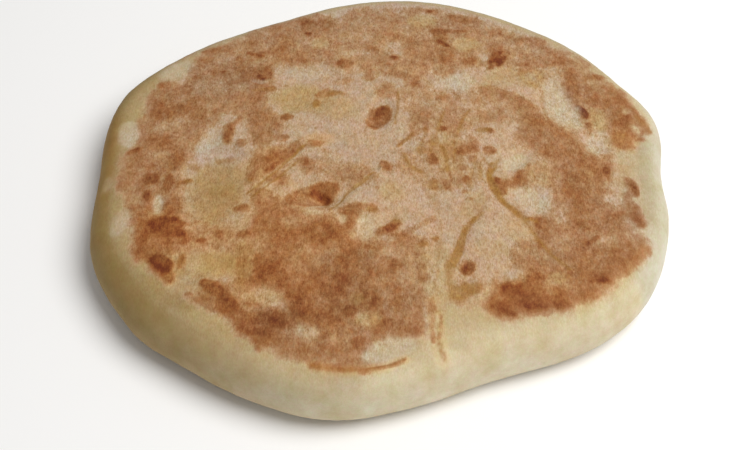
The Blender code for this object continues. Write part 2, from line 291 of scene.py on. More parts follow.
    Blot(1.5, 36, 3.8, 2.8, 0.48, 1.8), Blot(8, 22, 2.4, 4, 0.1, 1.6), Blot(-1.6, 24, 6, 3.9, 0.5, 1, 78),
    Blot(-2.6, 21.6, 3.4, 2.8, 0.62, 0.7, 60),
    Streak(0.72, 0.6, ((-5, 22), (-3.6, 19.6), (-1.6, 18.6)), 0.5),
    Blot(0.4, 25.7, 4.8, 3.1, 0.7, 0.6, 88), Blot(0.7, 26.8, 3.4, 2.4, 0.8, 1, 88),
    # back
    Streak(0.52, 1.3, ((12, 82), (16, 81.5), (20, 80.5))), Blot(18, 81, 1.1, 0.9, 0.85, 0.6),
    Blot(31, 77, 6.5, 2.2, 0.56, 1, -10), Blot(32, 75.6, 2, 1.5, 0.72), Blot(27, 78, 1.8, 1.2, 0.64, 0.8),
    Blot(15, 77, 4.5, 3, 0.14, 2.7), Blot(31, 62.8, 4.8, 3.2, 0.14, 1.8), Blot(8, 71, 4, 3, 0.3, 2.7),
    Blot(21.8, 66.8, 4.8, 2.6, 0.7, 1.2, -70), Streak(0.68, 1.1, ((19.5, 69.3), (31, 69.6))),
    Blot(19.4, 69.4, 1.4, 1.5, 0.84, 0.7), Streak(0.98, 0.9, ((20.8, 63.7), (22.5, 62.4), (24.4, 61.3))),
    Blot(15, 62, 5, 2.3, 0.5, 2.2, 10), Blot(19, 57.3, 7, 3.6, 0.5, 2.5),
    Blot(4.5, 65, 2.6, 1.5, 0.45, 1, 80), Blot(4.6, 54.8, 2.2, 1.9, 0.58),
    Blot(4.6, 54.5, 1.3, 1.1, 0.9, 0.6), Blot(2.2, 48.8, 2.6, 2.3, 0.62),
    Streak(0.46, 1.6, ((1, 49), (5, 46.5), (9, 44))), Blot(12.5, 42, 2.8, 1.7, 0.54, 1, 80),
    Blot(22, 47, 3, 1.5, 0.42, 1, 10), Blot(32.4, 53, 2.8, 2.1, 0.66),
    Blot(21, 54, 7, 2.2, 0.54, 1.6, -8), Blot(37.5, 55.5, 2.4, 1.6, 0.06, 1, 90),
    Blot(42.5, 69, 3, 1.6, 0.54), Blot(51.2, 65, 2.2, 1.8, 0.66), Blot(57, 64.5, 3.8, 2.4, 0.48, 1, -10),
    Blot(43, 60, 3.6, 3, 0.58, 1, 90), Blot(42.6, 54.4, 4.6, 3, 0.88, 1, 60),
    Blot(42.5, 53, 2.4, 1.7, 1, 0.8, 60), Streak(0.78, 0.9, ((39.5, 49.5), (42, 51.5))),
    Blot(46, 57.5, 1.8, 1.2, 0.58, 0.8, 40), Blot(47, 62.5, 2.4, 3, 0.24, 1.4),
    Blot(62, 56, 12, 4.4, 0.5, 2.4, -8), Blot(57, 60, 4, 1.7, 0.34, 1.4, -10),
    Blot(73, 54.5, 4.5, 1.8, 0.24, 1.2, -35), Blot(52.5, 56.5, 1.9, 1.8, 0.62, 0.6),
    Blot(52.5, 56.5, 0.8, 0.7, 0.44, 0.5), Streak(0.56, 1.1, ((50, 52), (60, 52), (68, 52.5))),
    Blot(77.5, 42, 3.4, 2, 0.28, 1.3, -20), Blot(78.4, 45.3, 2.2, 1.2, 0.72, 0.8, -30),
    Blot(69.5, 43, 6, 3, 0.6, 2, 95),
    # right rear corner
    Blot(81, 34, 8.5, 6, 0.6, 2.7, -60), Blot(86, 24, 5.5, 2, 0.66, 1, 80),
    Blot(76.6, 24.5, 4.4, 2.4, 0.22, 1.5, 100), Blot(72.2, 34.5, 2, 1.6, 0.5),
    Blot(72, 27, 2.8, 1.4, 0.86, 0.7, 110), Streak(0.84, 0.8, ((70.3, 30.4), (71.8, 28))),
    Blot(72.9, 20.4, 2.4, 1.5, 0.66, 0.8, 95), Blot(92.5, 13, 4.4, 3, 0.04, 1.2),
    Blot(83.6, 14.2, 4.1, 3.8, 0.62), Blot(90.6, 14.4, 1.8, 1.1, 0.6, 0.8),
    Streak(0.6, 1.2, ((88, 30), (91, 25), (94, 19))), Blot(89.3, 19.3, 2.6, 1.4, 0.2, 1, -60),
    Blot(87, 27.5, 1.6, 1.2, 0.36),
    # between the crater and the right rear
    Blot(42.3, 33, 1.3, 1.2, 0.6, 0.7), Streak(0.46, 2.6, ((38, 38), (46, 35), (53, 29)), 1.2),
    Blot(49, 33, 2, 1.5, 0.58), Blot(52.5, 30, 1.5, 1.2, 0.6), Blot(37.9, 17.2, 1.5, 1.2, 0.68, 0.7),
    Blot(37.3, 7.4, 2.3, 2.1, 0.6, 0.7), Blot(38, 7, 1.2, 1.1, 0.7, 0.6),
    Blot(37, 8, 0.7, 0.6, 0.48, 0.5), Blot(29.2, 7.4, 4.2, 2.2, 0.56, 1, 14),
    Blot(27.3, 6.8, 1.2, 1, 0.66, 0.7), Blot(30, 7, 1.1, 0.9, 0.66, 0.7),
    Blot(31.6, 8.9, 1.2, 1.6, 0.64, 0.7), Blot(31.2, 12, 2.4, 1.3, 0.54, 1, 80),
    Blot(27.6, -0.8, 2.1, 1.5, 0.54, 0.8, 10), Blot(31, 3.4, 1.8, 1.3, 0.46, 1, 60),
    Blot(17, 3.2, 2.9, 2.1, 0.66, 0.6, 110), Blot(17.4, 3.2, 1.5, 1.1, 0.76, 0.7, 100),
    Blot(13.4, 7, 2.2, 1.8, 0.44, 0.7), Blot(21.2, 17.8, 1.7, 1.4, 0.7, 0.6, 60),
    Streak(0.46, 1.4, ((13.5, 22), (15, 25.5), (19, 29))),
    Streak(0.54, 0.8, ((15.2, 17.4), (15.4, 20), (16.8, 25))), Blot(15.2, 17.8, 0.9, 0.8, 0.7, 0.5),
    Streak(0.5, 0.7, ((5.5, 9.8), (8, 11.6), (10.7, 14.2), (13, 17.5))),
    Blot(10.9, 14.3, 0.9, 0.7, 0.62, 0.5), Streak(0.64, 0.4, ((22.5, -3), (24.2, -6.5)), 0.5),
    Blot(21.7, 33.6, 2, 1.5, 0.6), Blot(2.5, 38, 3.2, 2, 0.42, 1, 90),
    # right
    Blot(57, 17, 4, 3, 0.54, 2.4, 80), Blot(62, 12.5, 3, 2.4, 0.6, 2), Blot(66, 4, 5, 3, 0.58, 2.4),
    Blot(71, 0, 4.5, 3, 0.6, 2.4), Blot(76.8, -0.9, 1.8, 1.5, 0.84, 0.7, 80),
    Blot(64, -11, 3.6, 2.8, 0.64), Blot(73.3, -10.6, 2, 1.7, 0.66), Blot(68, -15, 4, 2, 0.56, 2.2),
    Blot(85, -8, 5, 2.3, 0.54, 1, -75), Blot(85.4, -8, 3.8, 1.5, 0.72, 0.9, -80),
    Blot(86.2, -10, 2.4, 1.2, 0.92, 0.6, 100), Blot(85, -19.8, 6.8, 2.6, 0.56, 1.2, -72),
    Streak(0.56, 1.8, ((83.6, -11.5), (82.6, -15), (82, -20)), 1.6), Blot(80, -26.5, 4, 2.6, 0.5, 2),
    Blot(86.3, -23, 2.4, 1.5, 0.64, 1, -70), Streak(0.68, 1.1, ((62.7, -21), (64, -24), (66.2, -27))),
    Blot(53, -25.6, 3.5, 2, 0.58), Streak(0.6, 0.9, ((49, -23), (56, -24))),
    Blot(64.5, -28.5, 3, 2.4, 0.46, 2.4), Blot(74.2, -31.4, 4, 1.9, 0.36, 1.6),
    Streak(0.84, 0.9, ((67.6, -33.4), (69.3, -32), (71.2, -30.6))),
    Streak(0.62, 1.3, ((67, -36), (66.4, -45)), 1.2), Blot(58, -33, 4, 3.6, 0.38, 2.7),
    Blot(59.5, -43, 3.5, 3.5, 0.62, 2.5), Blot(56.8, -47.4, 2.4, 2, 0.4, 1.2),
    Blot(70.8, -47.8, 2.2, 1.6, 0.78), Blot(67.5, -45, 2.4, 1.6, 0.66, 1, 90), Blot(68, -40, 3, 2, 0.62),
    Blot(79.5, -36, 4, 3.6, 0.6, 2.2), Blot(65, -53.5, 4, 2.8, 0.62, 2),
    Blot(84.5, -32.5, 3, 2.4, 0.54, 2), Streak(0.62, 1.3, ((38.8, -5.5), (40.4, -11.5)), 0.8),
    Blot(39.6, -6, 1.6, 1.3, 0.72, 0.6, 90), Blot(40.8, -10, 2, 1.3, 0.68, 0.6, 110),
    Blot(42.8, -7.5, 2.4, 1.9, 0.58), Blot(47.4, -5, 3.8, 2.2, 0.62, 1.2, 84),
    Streak(0.52, 0.8, ((49, -2.5), (50.2, 1.5))), Blot(45, -36.5, 4, 2.6, 0.44, 2.4, 80),
    Streak(0.66, 0.4, ((51, -32), (54, -36.5), (58, -41), (61, -45.5)), 0.4),
    Blot(50.5, -38.5, 3.6, 3, 0.46, 2.2, 80),
    # right front patch
    Blot(41.5, -52.6, 4.4, 2.4, 0.8, 1.8, -20), Blot(47.5, -57.4, 6.6, 2.8, 0.79, 2, -5),
    Blot(36, -56, 2.4, 1.8, 0.64, 1.2), Blot(54, -53.4, 2.6, 1.6, 0.58, 1.2),
    Blot(39.5, -61, 3, 1.2, 0.82, 0.9, -20), Blot(56, -58, 4.5, 1.4, 0.78, 0.9, 5),
    Blot(49.5, -47.5, 3.4, 1.8, 0.72, 1, 10),
    # crater at the front crease
    Blot(27.5, -43.5, 3.3, 2.9, 0.66, 0.6, 80), Blot(27.2, -43.1, 1.9, 1.6, 0.84, 0.8, 80),
    Blot(27, -42.6, 0.9, 0.8, 0.96, 0.5),
    # middle
    Blot(28.9, -6.1, 1.8, 1.4, 0.72, 0.5, 85), Blot(28.3, -11.2, 1.1, 0.9, 0.6, 0.5),
    Blot(29.4, -14.3, 1.1, 0.9, 0.58, 0.6), Blot(17.4, -8.6, 2.4, 1.7, 0.46, 0.7, 90),
    Blot(22, -8.4, 2.5, 1.6, 0.54, 0.7, 80), Blot(17.3, -31.7, 1.3, 0.9, 0.56, 0.6, 30),
    Blot(13.3, -34.3, 1.8, 1.2, 0.56, 0.7), Streak(0.62, 1.7, ((-0.6, -29.6), (2, -28.2), (4.4, -25.4))),
    Blot(2.2, -28, 2.2, 1.4, 0.78, 0.9, 30),
    Streak(0.56, 1.8, ((-13, -20.3), (-9, -18.9), (-4, -19.2)), 0.9),
    Streak(0.6, 1.2, ((-10, -22), (-10.3, -26), (-13, -29))), Blot(-11.3, -21.3, 1.9, 1.4, 0.76, 0.7),
    Blot(-8, -18.6, 1.7, 1, 0.66, 0.8), Blot(7, -31.5, 2.5, 1.9, 0.5),
    Blot(-4, -36.5, 2.4, 1.4, 0.66, 1, -10), Blot(2, -38, 2.4, 2, 0.32, 1.2),
    Streak(0.6, 1, ((-37.6, -19), (-35, -24))),
    # crater left of the middle, its dark crescent on the right partly painted shade
    Blot(-24, -12.3, 9.4, 4.8, 0.56, 0.8, 20),
    Field(0.68, 1.2, ((-27.5, -10), (-24, -8), (-20, -7), (-15.8, -8), (-16.2, -11), (-17.2, -15),
        (-19.4, -16.4), (-21, -13.6), (-23.4, -12.2))),
    Streak(0.93, 1.7, ((-23, -11.2), (-20.6, -12), (-18.8, -14.8)), 0.9),
    # left front
    Blot(-89, -6.6, 2.6, 1.9, 0.58, 1, 80), Blot(-73.2, -5.6, 4, 1.6, 0.74, 0.8, 84),
    Streak(0.68, 0.7, ((-70, -7.6), (-69.3, -5), (-66, -3.8)), 0.5),
    Blot(-83, -15.5, 4.6, 3.6, 0.5, 2, 80), Blot(-80.2, -12, 3.2, 1.4, 0.76, 0.8, 86),
    Blot(-82, -18, 3.6, 2, 0.6), Blot(-71.6, -16.4, 4.2, 1.4, 0.74, 0.8, 86),
    Blot(-72.5, -25, 6, 4.2, 0.86, 1.6), Blot(-69.5, -28.6, 4.2, 2.6, 0.84, 1.4, -20),
    Streak(0.66, 1, ((-69, -24.4), (-65.4, -24.4))), Streak(0.62, 1.6, ((-76, -32), (-66, -32))),
    Blot(-60, -31.4, 1.7, 1.2, 0.72, 0.7), Blot(-72.5, -36.5, 6, 2.4, 0.62, 2, 10),
    Blot(-72.5, -41.8, 4.6, 3.8, 0.84, 1, -35), Blot(-74.6, -41, 3.2, 2, 1, 0.9, 100),
    Blot(-70.4, -43.6, 1.8, 1.5, 0.9, 0.8), Blot(-65.8, -40.3, 3, 1.5, 0.6, 0.9, 80),
    Blot(-47.3, -17.8, 2.6, 2, 0.62), Blot(-55, -28.6, 2, 1.6, 0.6, 0.9),
    Blot(-46, -29.5, 2.5, 1.6, 0.68, 0.8),
    # front
    Blot(-26, -31.5, 12, 4, 0.6, 3, 3), Blot(-21, -30.5, 4.4, 5, 0.73, 2.4),
    Blot(-34.3, -30.5, 2.8, 5.6, 0.71, 2.2), Blot(-29, -24.5, 4.4, 2.6, 0.44, 2.2),
    Blot(-24, -38, 9, 1.8, 0.52, 2.2, 4), Blot(-34, -45.5, 4, 4.5, 0.71, 2.6),
    Blot(-40.5, -44, 2, 6, 0.66, 2), Blot(-26.5, -44, 2.4, 2.2, 0.44, 2), Blot(-27, -54, 4, 5, 0.71, 2.8),
    Blot(-17, -54.5, 4.5, 3.6, 0.74, 2.6), Blot(-9, -53, 2.5, 4, 0.56, 2),
    Blot(-41.5, -57.5, 3, 2, 0.58, 1.6), Blot(-37.8, -45.5, 4, 2.8, 0.82, 1.6, 80),
    Blot(-30.5, -43.5, 3, 2.6, 0.58, 2), Blot(-21, -41.5, 3.6, 2.4, 0.5, 2.2),
    Blot(-45, -42, 2.8, 5, 0.36, 2.4), Blot(-37.8, -55.5, 5.6, 2.2, 0.26, 1.4),
    Blot(-28, -55, 4.5, 2.6, 0.66, 2, 85), Blot(-22, -50, 3, 2, 0.66), Blot(-20, -57, 6, 5, 0.7, 2.7),
    Blot(-14, -55, 2.4, 2, 0.66, 1, 80), Blot(-1.9, -57.8, 2.6, 2, 0.88, 1.2, 80),
    Blot(-8.4, -57, 2.6, 2.4, 0.48, 1.2), Blot(-10.4, -61.8, 2.4, 2.2, 0.9, 0.9),
    Blot(-36, -71.5, 5, 2.8, 0.75, 2), Streak(0.62, 1, ((-40, -71), (-38.6, -75))),
    Blot(-54.6, -52, 5.6, 3.2, 0.76, 1.4, -50), Blot(-48.5, -59, 4.6, 3, 0.74, 1.6, -50),
    Blot(-43.5, -65.5, 5, 3.4, 0.76, 1.8, -50), Blot(-36, -65.5, 6.5, 4.4, 0.72, 2.4),
    Blot(-32.3, -64.8, 3.2, 3.4, 0.9, 1.6, 60), Blot(-27, -63.5, 2.6, 2.6, 0.84, 1.8),
    Blot(-55.5, -56.5, 4.5, 3, 0.6, 1.6, -40), Streak(0.44, 1.2, ((-62.5, -54), (-59, -56.5)), 1),
    Blot(-57, -49.3, 2.6, 1.8, 0.84, 1, -20), Blot(-17, -77, 4, 2.8, 0.58, 2.4),
    Blot(-24, -69.4, 4, 2.4, 0.33, 2.2), Blot(-12, -72.5, 3, 1.8, 0.38, 2),
    Streak(0.68, 0.9, ((-9, -75), (-6, -72))), Blot(-9.6, -67, 2, 1.4, 0.6),
    Blot(-4.4, -64.8, 3.8, 3, 0.3, 2, 10), Blot(-8.4, -73, 1.9, 1.8, 0.68),
    Streak(0.7, 0.6, FRONT_LIP, 0.5), Streak(0.62, 1, ((-21, -81.4), (-14, -83), (-7, -83.4)), 0.9),
    Blot(4, -43.5, 2.6, 2.4, 0.64, 1.8), Blot(-4, -46, 1.5, 1.2, 0.76, 0.8, 80),
    Blot(-12.5, -48.6, 3, 2, 0.72, 1.4), Blot(-14, -41, 1.6, 2, 0.7, 1.2),
    Blot(16, -46.5, 2, 6, 0.14, 1.4), Blot(13.4, -48, 2, 1.5, 0.42, 1.2, 80),
    Blot(1.8, -54, 1.4, 1.2, 0.72, 0.9), Blot(-14.2, -54.2, 2.6, 2.3, 0.76, 1.4),
    Blot(0.5, -48.5, 2.4, 2.6, 0.44, 1.6), Blot(7, -39, 3, 2.4, 0.38, 1.6),
    Blot(11.5, -38.5, 1, 0.8, 0.55, 0.6), Blot(2, -54, 4, 3, 0.58, 2.4), Blot(5, -62, 5, 3.6, 0.51, 2.7),
    Blot(8, -56, 3, 3, 0.48, 2), Blot(-1, -68.5, 3, 1.8, 0.56), Blot(10, -68, 2, 1.8, 0.58),
    Streak(0.4, 1.1, ((15.4, -57), (16.2, -61), (15.4, -67)), 0.9),
    Streak(0.34, 0.7, ((15.4, -67), (15.8, -73)), 0.6),
    Streak(0.3, 0.7, ((18.2, -62), (18, -68), (17.4, -72)), 0.8),
    Streak(0.26, 0.8, ((17.8, -74), (18.8, -78.5)), 0.8),
)

# Ochre along the creases and in the craters.
OCHRE = (
    Blot(-56, -10, 12, 8, 0.2, 3, 80), Blot(-55, -9, 5, 3, 0.5, 2, 20), Blot(-45.5, -43, 2.6, 8, 0.32, 2),
    Blot(-28, 33, 11, 8, 0.1, 3, 10), Blot(-65, 2, 2, 1.4, 0.6), Blot(-46, -5.6, 1.8, 1.2, 0.5, 0.9, 40),
    Streak(0.62, 1, ((-57, 4.5), (-52, 5.2))), Blot(-17.2, 36.6, 2.6, 1.4, 0.6),
    Blot(-23.4, 31.4, 2.1, 1.2, 0.7, 0.8, 80), Streak(0.4, 0.8, ((-46, 37.3), (-42, 38), (-39, 39.3))),
    Blot(26.5, -53, 6.4, 2.8, 0.95, 1.4, 30),
    Streak(0.7, 1.2, ((21.6, -43), (21.2, -50), (24, -54)), 1.2),
    Streak(0.45, 1.2, ((90.5, 25), (94, 19)), 0.9), Blot(84, 15, 4, 3, 0.28, 1.2),
    Blot(-65.8, -40.3, 3, 1.5, 0.35, 0.9, 80), Blot(-8.4, -57, 2.4, 2.2, 0.5),
    Streak(0.35, 1, ((17.8, -66), (17.4, -73), (19, -78.5)), 0.8), Blot(-51, -40, 4.6, 3.4, 0.18, 1.8),
    Field(0.95, 0.7, ((26, -34), (25, -40), (24.4, -43.6), (20.6, -43.8), (22, -40), (24, -35))),
    Blot(35.3, 17.4, 2.8, 1.2, 0.85, 0.6), Blot(13.4, 7, 2.2, 1.8, 0.45, 0.7),
    Blot(18.3, 11.5, 2.1, 1.6, 0.6, 0.7, 80), Blot(17.4, -8.6, 2.4, 1.7, 0.55, 0.7, 90),
    Blot(13.3, -34.3, 1.8, 1.2, 0.55, 0.7), Blot(17.3, -31.7, 1.3, 0.9, 0.45, 0.6, 30),
    Blot(-3.4, -20.2, 2.2, 1.3, 0.5, 0.8, -20), Blot(4.2, -23.5, 1.5, 1, 0.5, 0.7, 80),
    Streak(0.8, 0.8, ((7.2, 5.5), (8.2, 2.5), (10, -0.5), (13, -2.8)), 0.6),
    Blot(-67, -4, 1.6, 1.2, 0.55, 0.8),
    Streak(1, 1.35, ((38.4, 1), (36.9, -3), (36.7, -6), (37.6, -10)), 0.5),
    Streak(1, 1.25, ((37.6, -10), (39.6, -13.6), (42.5, -17.6), (45.8, -21.3)), 0.4),
    Streak(0.9, 0.75, ((45.8, -21.3), (48.4, -23.2), (51.5, -24.6)), 0.4),
    Streak(0.85, 0.5, ((46, -22), (48, -25), (51, -31), (54, -36.5), (58, -41), (60.5, -44)), 0.4),
    Streak(0.35, 0.6, ((50.5, 45), (52, 42), (55.5, 40.3), (58, 42.5), (58, 46)), 0.6),
    Streak(0.75, 0.45, ((34, 5), (37.5, 0)), 0.4), Streak(0.75, 0.45, ((40.5, 3.5), (38, 0)), 0.4),
    Streak(0.9, 0.8, ((33, -20.5), (31, -23)), 0.5),
    Streak(0.95, 1.25, ((31, -23), (27.5, -28), (26, -33)), 0.5),
    Streak(0.95, 1.45, ((26, -33), (24.5, -38), (23, -41)), 0.5),
    Streak(0.4, 0.8, ((35, -14), (32.5, -20))), Streak(0.4, 0.6, FRONT_LIP, 0.5),
    Streak(0.9, 0.45, ((-3, -3.5), (-10.5, -10.3), (-16, -18.5)), 0.4),
    Streak(0.9, 0.45, ((-4.5, -5.8), (-12, -12.8), (-17.5, -19.8)), 0.4),
    Streak(0.85, 0.45, ((-46, -11), (-36, -1.5), (-27, 10)), 0.4),
    Streak(0.8, 0.4, ((-44, -13), (-35, -4.4), (-29, 3)), 0.4), Streak(0.65, 0.6, LENS_FOLD, 0.5),
    Streak(0.75, 0.5, ((5.8, 36), (5.6, 28), (4.2, 20.5)), 0.4),
    Streak(0.8, 0.9, ((20.8, 9), (22, 4), (22.3, -2)), 0.6),
    Streak(0.75, 0.5, ((16.6, 6.5), (18.4, 12), (20, 20), (22, 26)), 0.5),
    Streak(0.75, 0.6, ((26, 14), (28, 21), (31, 27)), 0.5), Streak(0.6, 0.5, ((14, -8), (16, -14)), 0.5),
    Streak(0.6, 0.6, ((33.5, -6), (34, 1)), 0.5),
    Streak(0.65, 0.6, ((5.6, 9.6), (8.6, 12.2), (11, 15)), 0.5),
    Streak(0.6, 0.5, ((12.6, 8), (14.6, 13), (15.4, 18)), 0.5),
    Streak(0.6, 0.5, ((24.6, 2), (25.4, 7), (24.8, 12)), 0.5),
    Streak(0.55, 0.5, ((29.4, -12), (31, -3), (32.2, 4)), 0.5),
    Streak(0.45, 0.4, ((18, -10), (19.5, -30), (17, -52)), 0.5),
)

# Flour that was left on the crust, and one painted highlight: the small whitish blot at (24, -74) on the
# front flank.
FLOUR_AND_HIGHLIGHT = (
    Blot(-89.5, 17.5, 6.5, 3.6, 1, 1.2, 98), Blot(-75.5, 49, 7, 3.6, 0.85, 1.5, 40),
    Blot(-61, 13.5, 5.6, 2.8, 0.85, 1.2, 62), Blot(-57.5, 14.5, 3.6, 1.6, 0.5, 1.2, 80),
    Streak(0.5, 0.8, ((-46, 42.6), (-43.4, 41.6), (-41, 42.6)), 0.6),
    Blot(-94.5, -5, 3.5, 1.6, 0.5, 1.2, 90), Blot(-75.8, -15.3, 4.6, 1.7, 0.8, 0.9, 92),
    Blot(-87.5, -23, 6, 2.6, 0.75, 1.6, 75), Blot(-61, -42, 4, 2.4, 0.4, 1.6, 80),
    Blot(-64, -47.5, 3, 2, 0.4, 1.6), Blot(-48, -24, 4.6, 4, 0.45, 1.5),
    Blot(-21, -20.4, 5, 1.2, 0.55, 1, 10), Blot(-13.3, -24.2, 1.3, 1.8, 0.75, 0.6),
    Blot(-5.8, -27.6, 5.4, 3, 0.7, 1.3, 85), Blot(1.8, -32.5, 2.4, 1.2, 0.45, 0.8),
    Blot(7.5, 17, 1.8, 2, 0.45, 0.8),
    Streak(0.55, 0.4, ((-45, -9.8), (-38.2, -3), (-33, 1.8), (-27, 7.8)), 0.4),
    Blot(2, -76.3, 8.8, 4.6, 0.9, 1.6, 20), Blot(-35, -55.8, 2.6, 1.6, 0.28, 1.2),
    Blot(-24, -69.5, 3.6, 2, 0.3, 1.6), Streak(0.5, 0.5, ((13.4, -60), (13.6, -71)), 0.5),
    # The blot at (24, -74) is a painted highlight on the front flank.
    Streak(0.5, 0.5, ((17, -63), (16.6, -70)), 0.5), Blot(24, -74, 3, 1.4, 0.6, 1.2),
    Blot(-11, -88, 3, 1.6, 0.5, 1.2),
    Streak(0.6, 0.35, ((-4, -4.8), (-11.2, -11.3), (-16.6, -18.8)), 0.4),
    Blot(50.5, -14.5, 7, 4.4, 0.7, 1.4, -50), Blot(46, 2.5, 5, 3.4, 1, 1, 35),
    Field(0.85, 1.8, ((57.3, 42), (61, 44.5), (65, 42), (67.4, 36), (69.3, 30), (70.3, 25), (71.2, 19.5),
        (66, 20), (61, 24), (57.8, 27.5), (57.2, 34))),
    Blot(76, 13, 5.8, 4.4, 0.66, 1.2, 75), Blot(84, 5.5, 4, 3.4, 0.5, 1.5),
    Blot(54, 45.5, 2, 2.4, 0.4, 0.9), Blot(28.3, 42.3, 5.8, 4.2, 0.75, 1.6, 8),
    Blot(18, 41.6, 5, 1.6, 0.3, 1.2), Blot(35, -27, 5, 4, 0.3, 2), Blot(-26, 47.5, 10, 3.6, 0.4, 2),
    Blot(19, -47, 4, 6, 0.25, 2),
)

# Yellower dough.
YELLOW = (
    Blot(-57, -10, 15, 10, 0.6, 2.5, 80), Blot(-30, 34, 10, 7, 0.9, 2.5, 10),
    Blot(-17, 29, 9, 6.5, 0.62, 3, -10), Blot(-46, -42, 4, 10, 0.65, 2.5),
    Blot(18, -46, 12, 6, 0.65, 2.5, 90), Blot(43, 44, 9, 5, 0.65, 2.5, 30),
    Blot(54, 44, 5, 4.5, 0.8, 1.8), Blot(76.6, 24, 6, 3, 0.9, 1.5, 100),
    Blot(56.8, -47.4, 2.8, 2.4, 0.8, 1.2), Blot(3, -12, 4, 4.5, 0.7, 1.8), Blot(5, -22, 3, 4, 0.4, 2),
    Blot(54.5, -3, 4.5, 6, 0.6, 1.8), Blot(23, 6, 5, 9, 0.5, 2.5), Blot(36, -36, 6, 4, 0.45, 2),
    Blot(45, -28, 5, 5, 0.55, 2), Blot(30, -17, 7, 3, 0.5, 2, 60), Blot(-64, -46, 16, 5, 0.6, 2.5, -45),
    Blot(-54, -41, 8, 5.5, 0.95, 2), Blot(-4.2, -65, 4.4, 3.2, 0.8, 1.5, 10),
    Blot(-24, -69, 4.4, 2.6, 0.5, 1.5), Blot(-38, -55.5, 5.5, 2.8, 0.6, 1.5),
    Blot(-23.5, 63, 4, 3, 0.7, 1.5), Blot(15, 76, 5.5, 3.6, 0.9, 1.5), Blot(31.5, 62.5, 5, 4, 0.9, 1.5),
)

# An olive tinge on pale dough. On the left side and on the rim at the right front it is partly painted
# shade; on the right rim it is the dough's own colour.
OLIVE_AND_SHADE = (
    Blot(-63, -42, 6.5, 9, 0.62, 3), Blot(-50, -40, 3.5, 3, 0.6, 2), Blot(-57, -8, 9, 12, 0.45, 3),
    Blot(-58, -24, 6, 4, 0.3, 2.5), Streak(0.8, 4, ((-78, -47), (-70, -55.5), (-62, -57.5)), 3),
    Streak(0.28, 3, ((92.5, 12), (91, 2), (89.5, -20)), 2.5), Blot(84, 1.5, 3, 5, 0.22, 2),
    Blot(28, -64.5, 9, 4, 0.18, 3), Streak(0.25, 3, ((-92, 6), (-94, -12), (-89, -32)), 2.5),
    Blot(-62, -66, 6, 4, 0.3, 3, -40), Blot(-20, -87, 14, 4, 0.28, 3),
)

# Redder browns above 0, and greyer ones below.
WARM = (
    Field(-0.6, 8, ((-88, 52), (-60, 62), (-30, 72), (0, 76), (40, 70), (80, 50), (110, 60), (80, 110),
        (-80, 110))),
    Field(-0.25, 8, ((60, -10), (60, -40), (80, -42), (90, -20), (88, 0), (76, -8))),
    Field(-0.8, 3, ((90, 12), (87, 0), (88, -26), (80, -44), (110, -70), (120, 60), (92, 36), (97, 24))),
    Blot(84, -16, 12, 3, -1.1, 2, 87),
    Field(0.85, 8, ((-80, -19), (-62, -21), (-50, -10), (-38, 4), (-30, -10), (-16, -20), (0, -24),
        (-4, -44), (-20, -54), (-44, -56), (-60, -44), (-78, -38))),
    Blot(-42, 2, 9, 6, 1.2, 4, 40), Blot(-56, 44, 14, 10, -0.6, 5, 15), Blot(-74, -26, 8, 7, 1.3, 3),
    Blot(-69, -45, 4, 5, 1, 2), Blot(-20.5, -11, 5, 4, 1.6, 2), Blot(-22, 13, 5, 3, 1, 2),
    Blot(-55, -28, 4, 3.5, 1.3, 2), Blot(-32, -66, 8, 6, -0.4, 3), Blot(-45, -52, 12, 3, 1, 3, 60),
    Blot(-10, -46, 14, 9, 0, 4), Blot(-6, -58, 14, 6, -0.35, 4),
    Field(0.8, 3, ((31, -50), (37, -50), (52, -47), (60, -52), (58, -57), (44, -53), (40, -60),
        (33, -62))),
    Blot(-97, 10, 22, 4, 1, 3, 92),
    Streak(0.7, 2, ((86, -35), (82, -41), (76, -47), (70, -53), (62, -58)), 2.5),
    Blot(84, 14, 6, 4.6, 0.8, 2), Streak(1.1, 1.6, FRONT_LIP, 1.2),
    Streak(0.5, 2.4, ((16, -57), (17, -68), (18.5, -79)), 1.2),
    Field(-0.45, 5, ((-92, -28), (-84, -40), (-74, -50), (-62, -56), (-62, -72), (-90, -60),
        (-100, -30))),
    Blot(-57, 8, 9, 6, -0.6, 3),
)

# How far in from the edge the colour of the flanks reaches, and how olive they are. The olive by bearing
# is painted shade, darker on the left flank and on the back rim.
EDGE_BAND = 22.0
EDGE_BAND_SWELLS = (Swell(85, 60, -14), Swell(-66, 20, 12))
PAINTED_SHADE_SWELLS = (Swell(-168, 54, 1.0), Swell(85, 60, 0.5))

# The flank is counted from 0 at the rim to 1 at the foot, and this stands for the underside.
UNDERSIDE = 2.0

# The marks of the top hold a little way down the flank, and then fade out.
TOP_HOLD = 1.6
TOP_FADE = 2.6

# The shares of the flank over which its outer colour and its low colour come in. The low colour is
# painted light: the lower flank is made lighter, as if lit by light bounced up from the floor.
OUTER_FROM, OUTER_TO = 0.0, 0.25
BOUNCE_LIGHT_FROM, BOUNCE_LIGHT_TO = 0.3, 0.6

# Round the edge, the olive tinge of painted shade keeps to the outer part of the band.
PAINTED_SHADE_GAIN = 1.5
PAINTED_SHADE_LOSS = 0.2

# The size, seed and share of each layer of soft patches on the underside, how far they move
# the edge of its browning, where that edge is, and how browned the patches are.
UNDER_PATCHES = ((17, 31, 1.0), (6, 32, 0.7), (2.4, 33, 0.35))
UNDER_WANDER = 2.0
UNDER_EDGE_FROM, UNDER_EDGE_TO = 10.0, 16.0
UNDER_TOAST = 0.36
UNDER_CONTRAST = 0.26
MOST_UNDER_TOAST = 0.8

# How far the underside's own grid keeps in from the foot.
UNDER_INSET = 0.8

# Random knots along each side of the grid that a wandering value is drawn from.
KNOTS = 256

# What uneven edges are moved by along X and along Y, again as size, seed and share.
UNEVEN_X = ((5.0, 10, 1.0), (2.0, 20, 0.7))
UNEVEN_Y = ((5.0, 11, 1.0), (2.0, 21, 0.7))

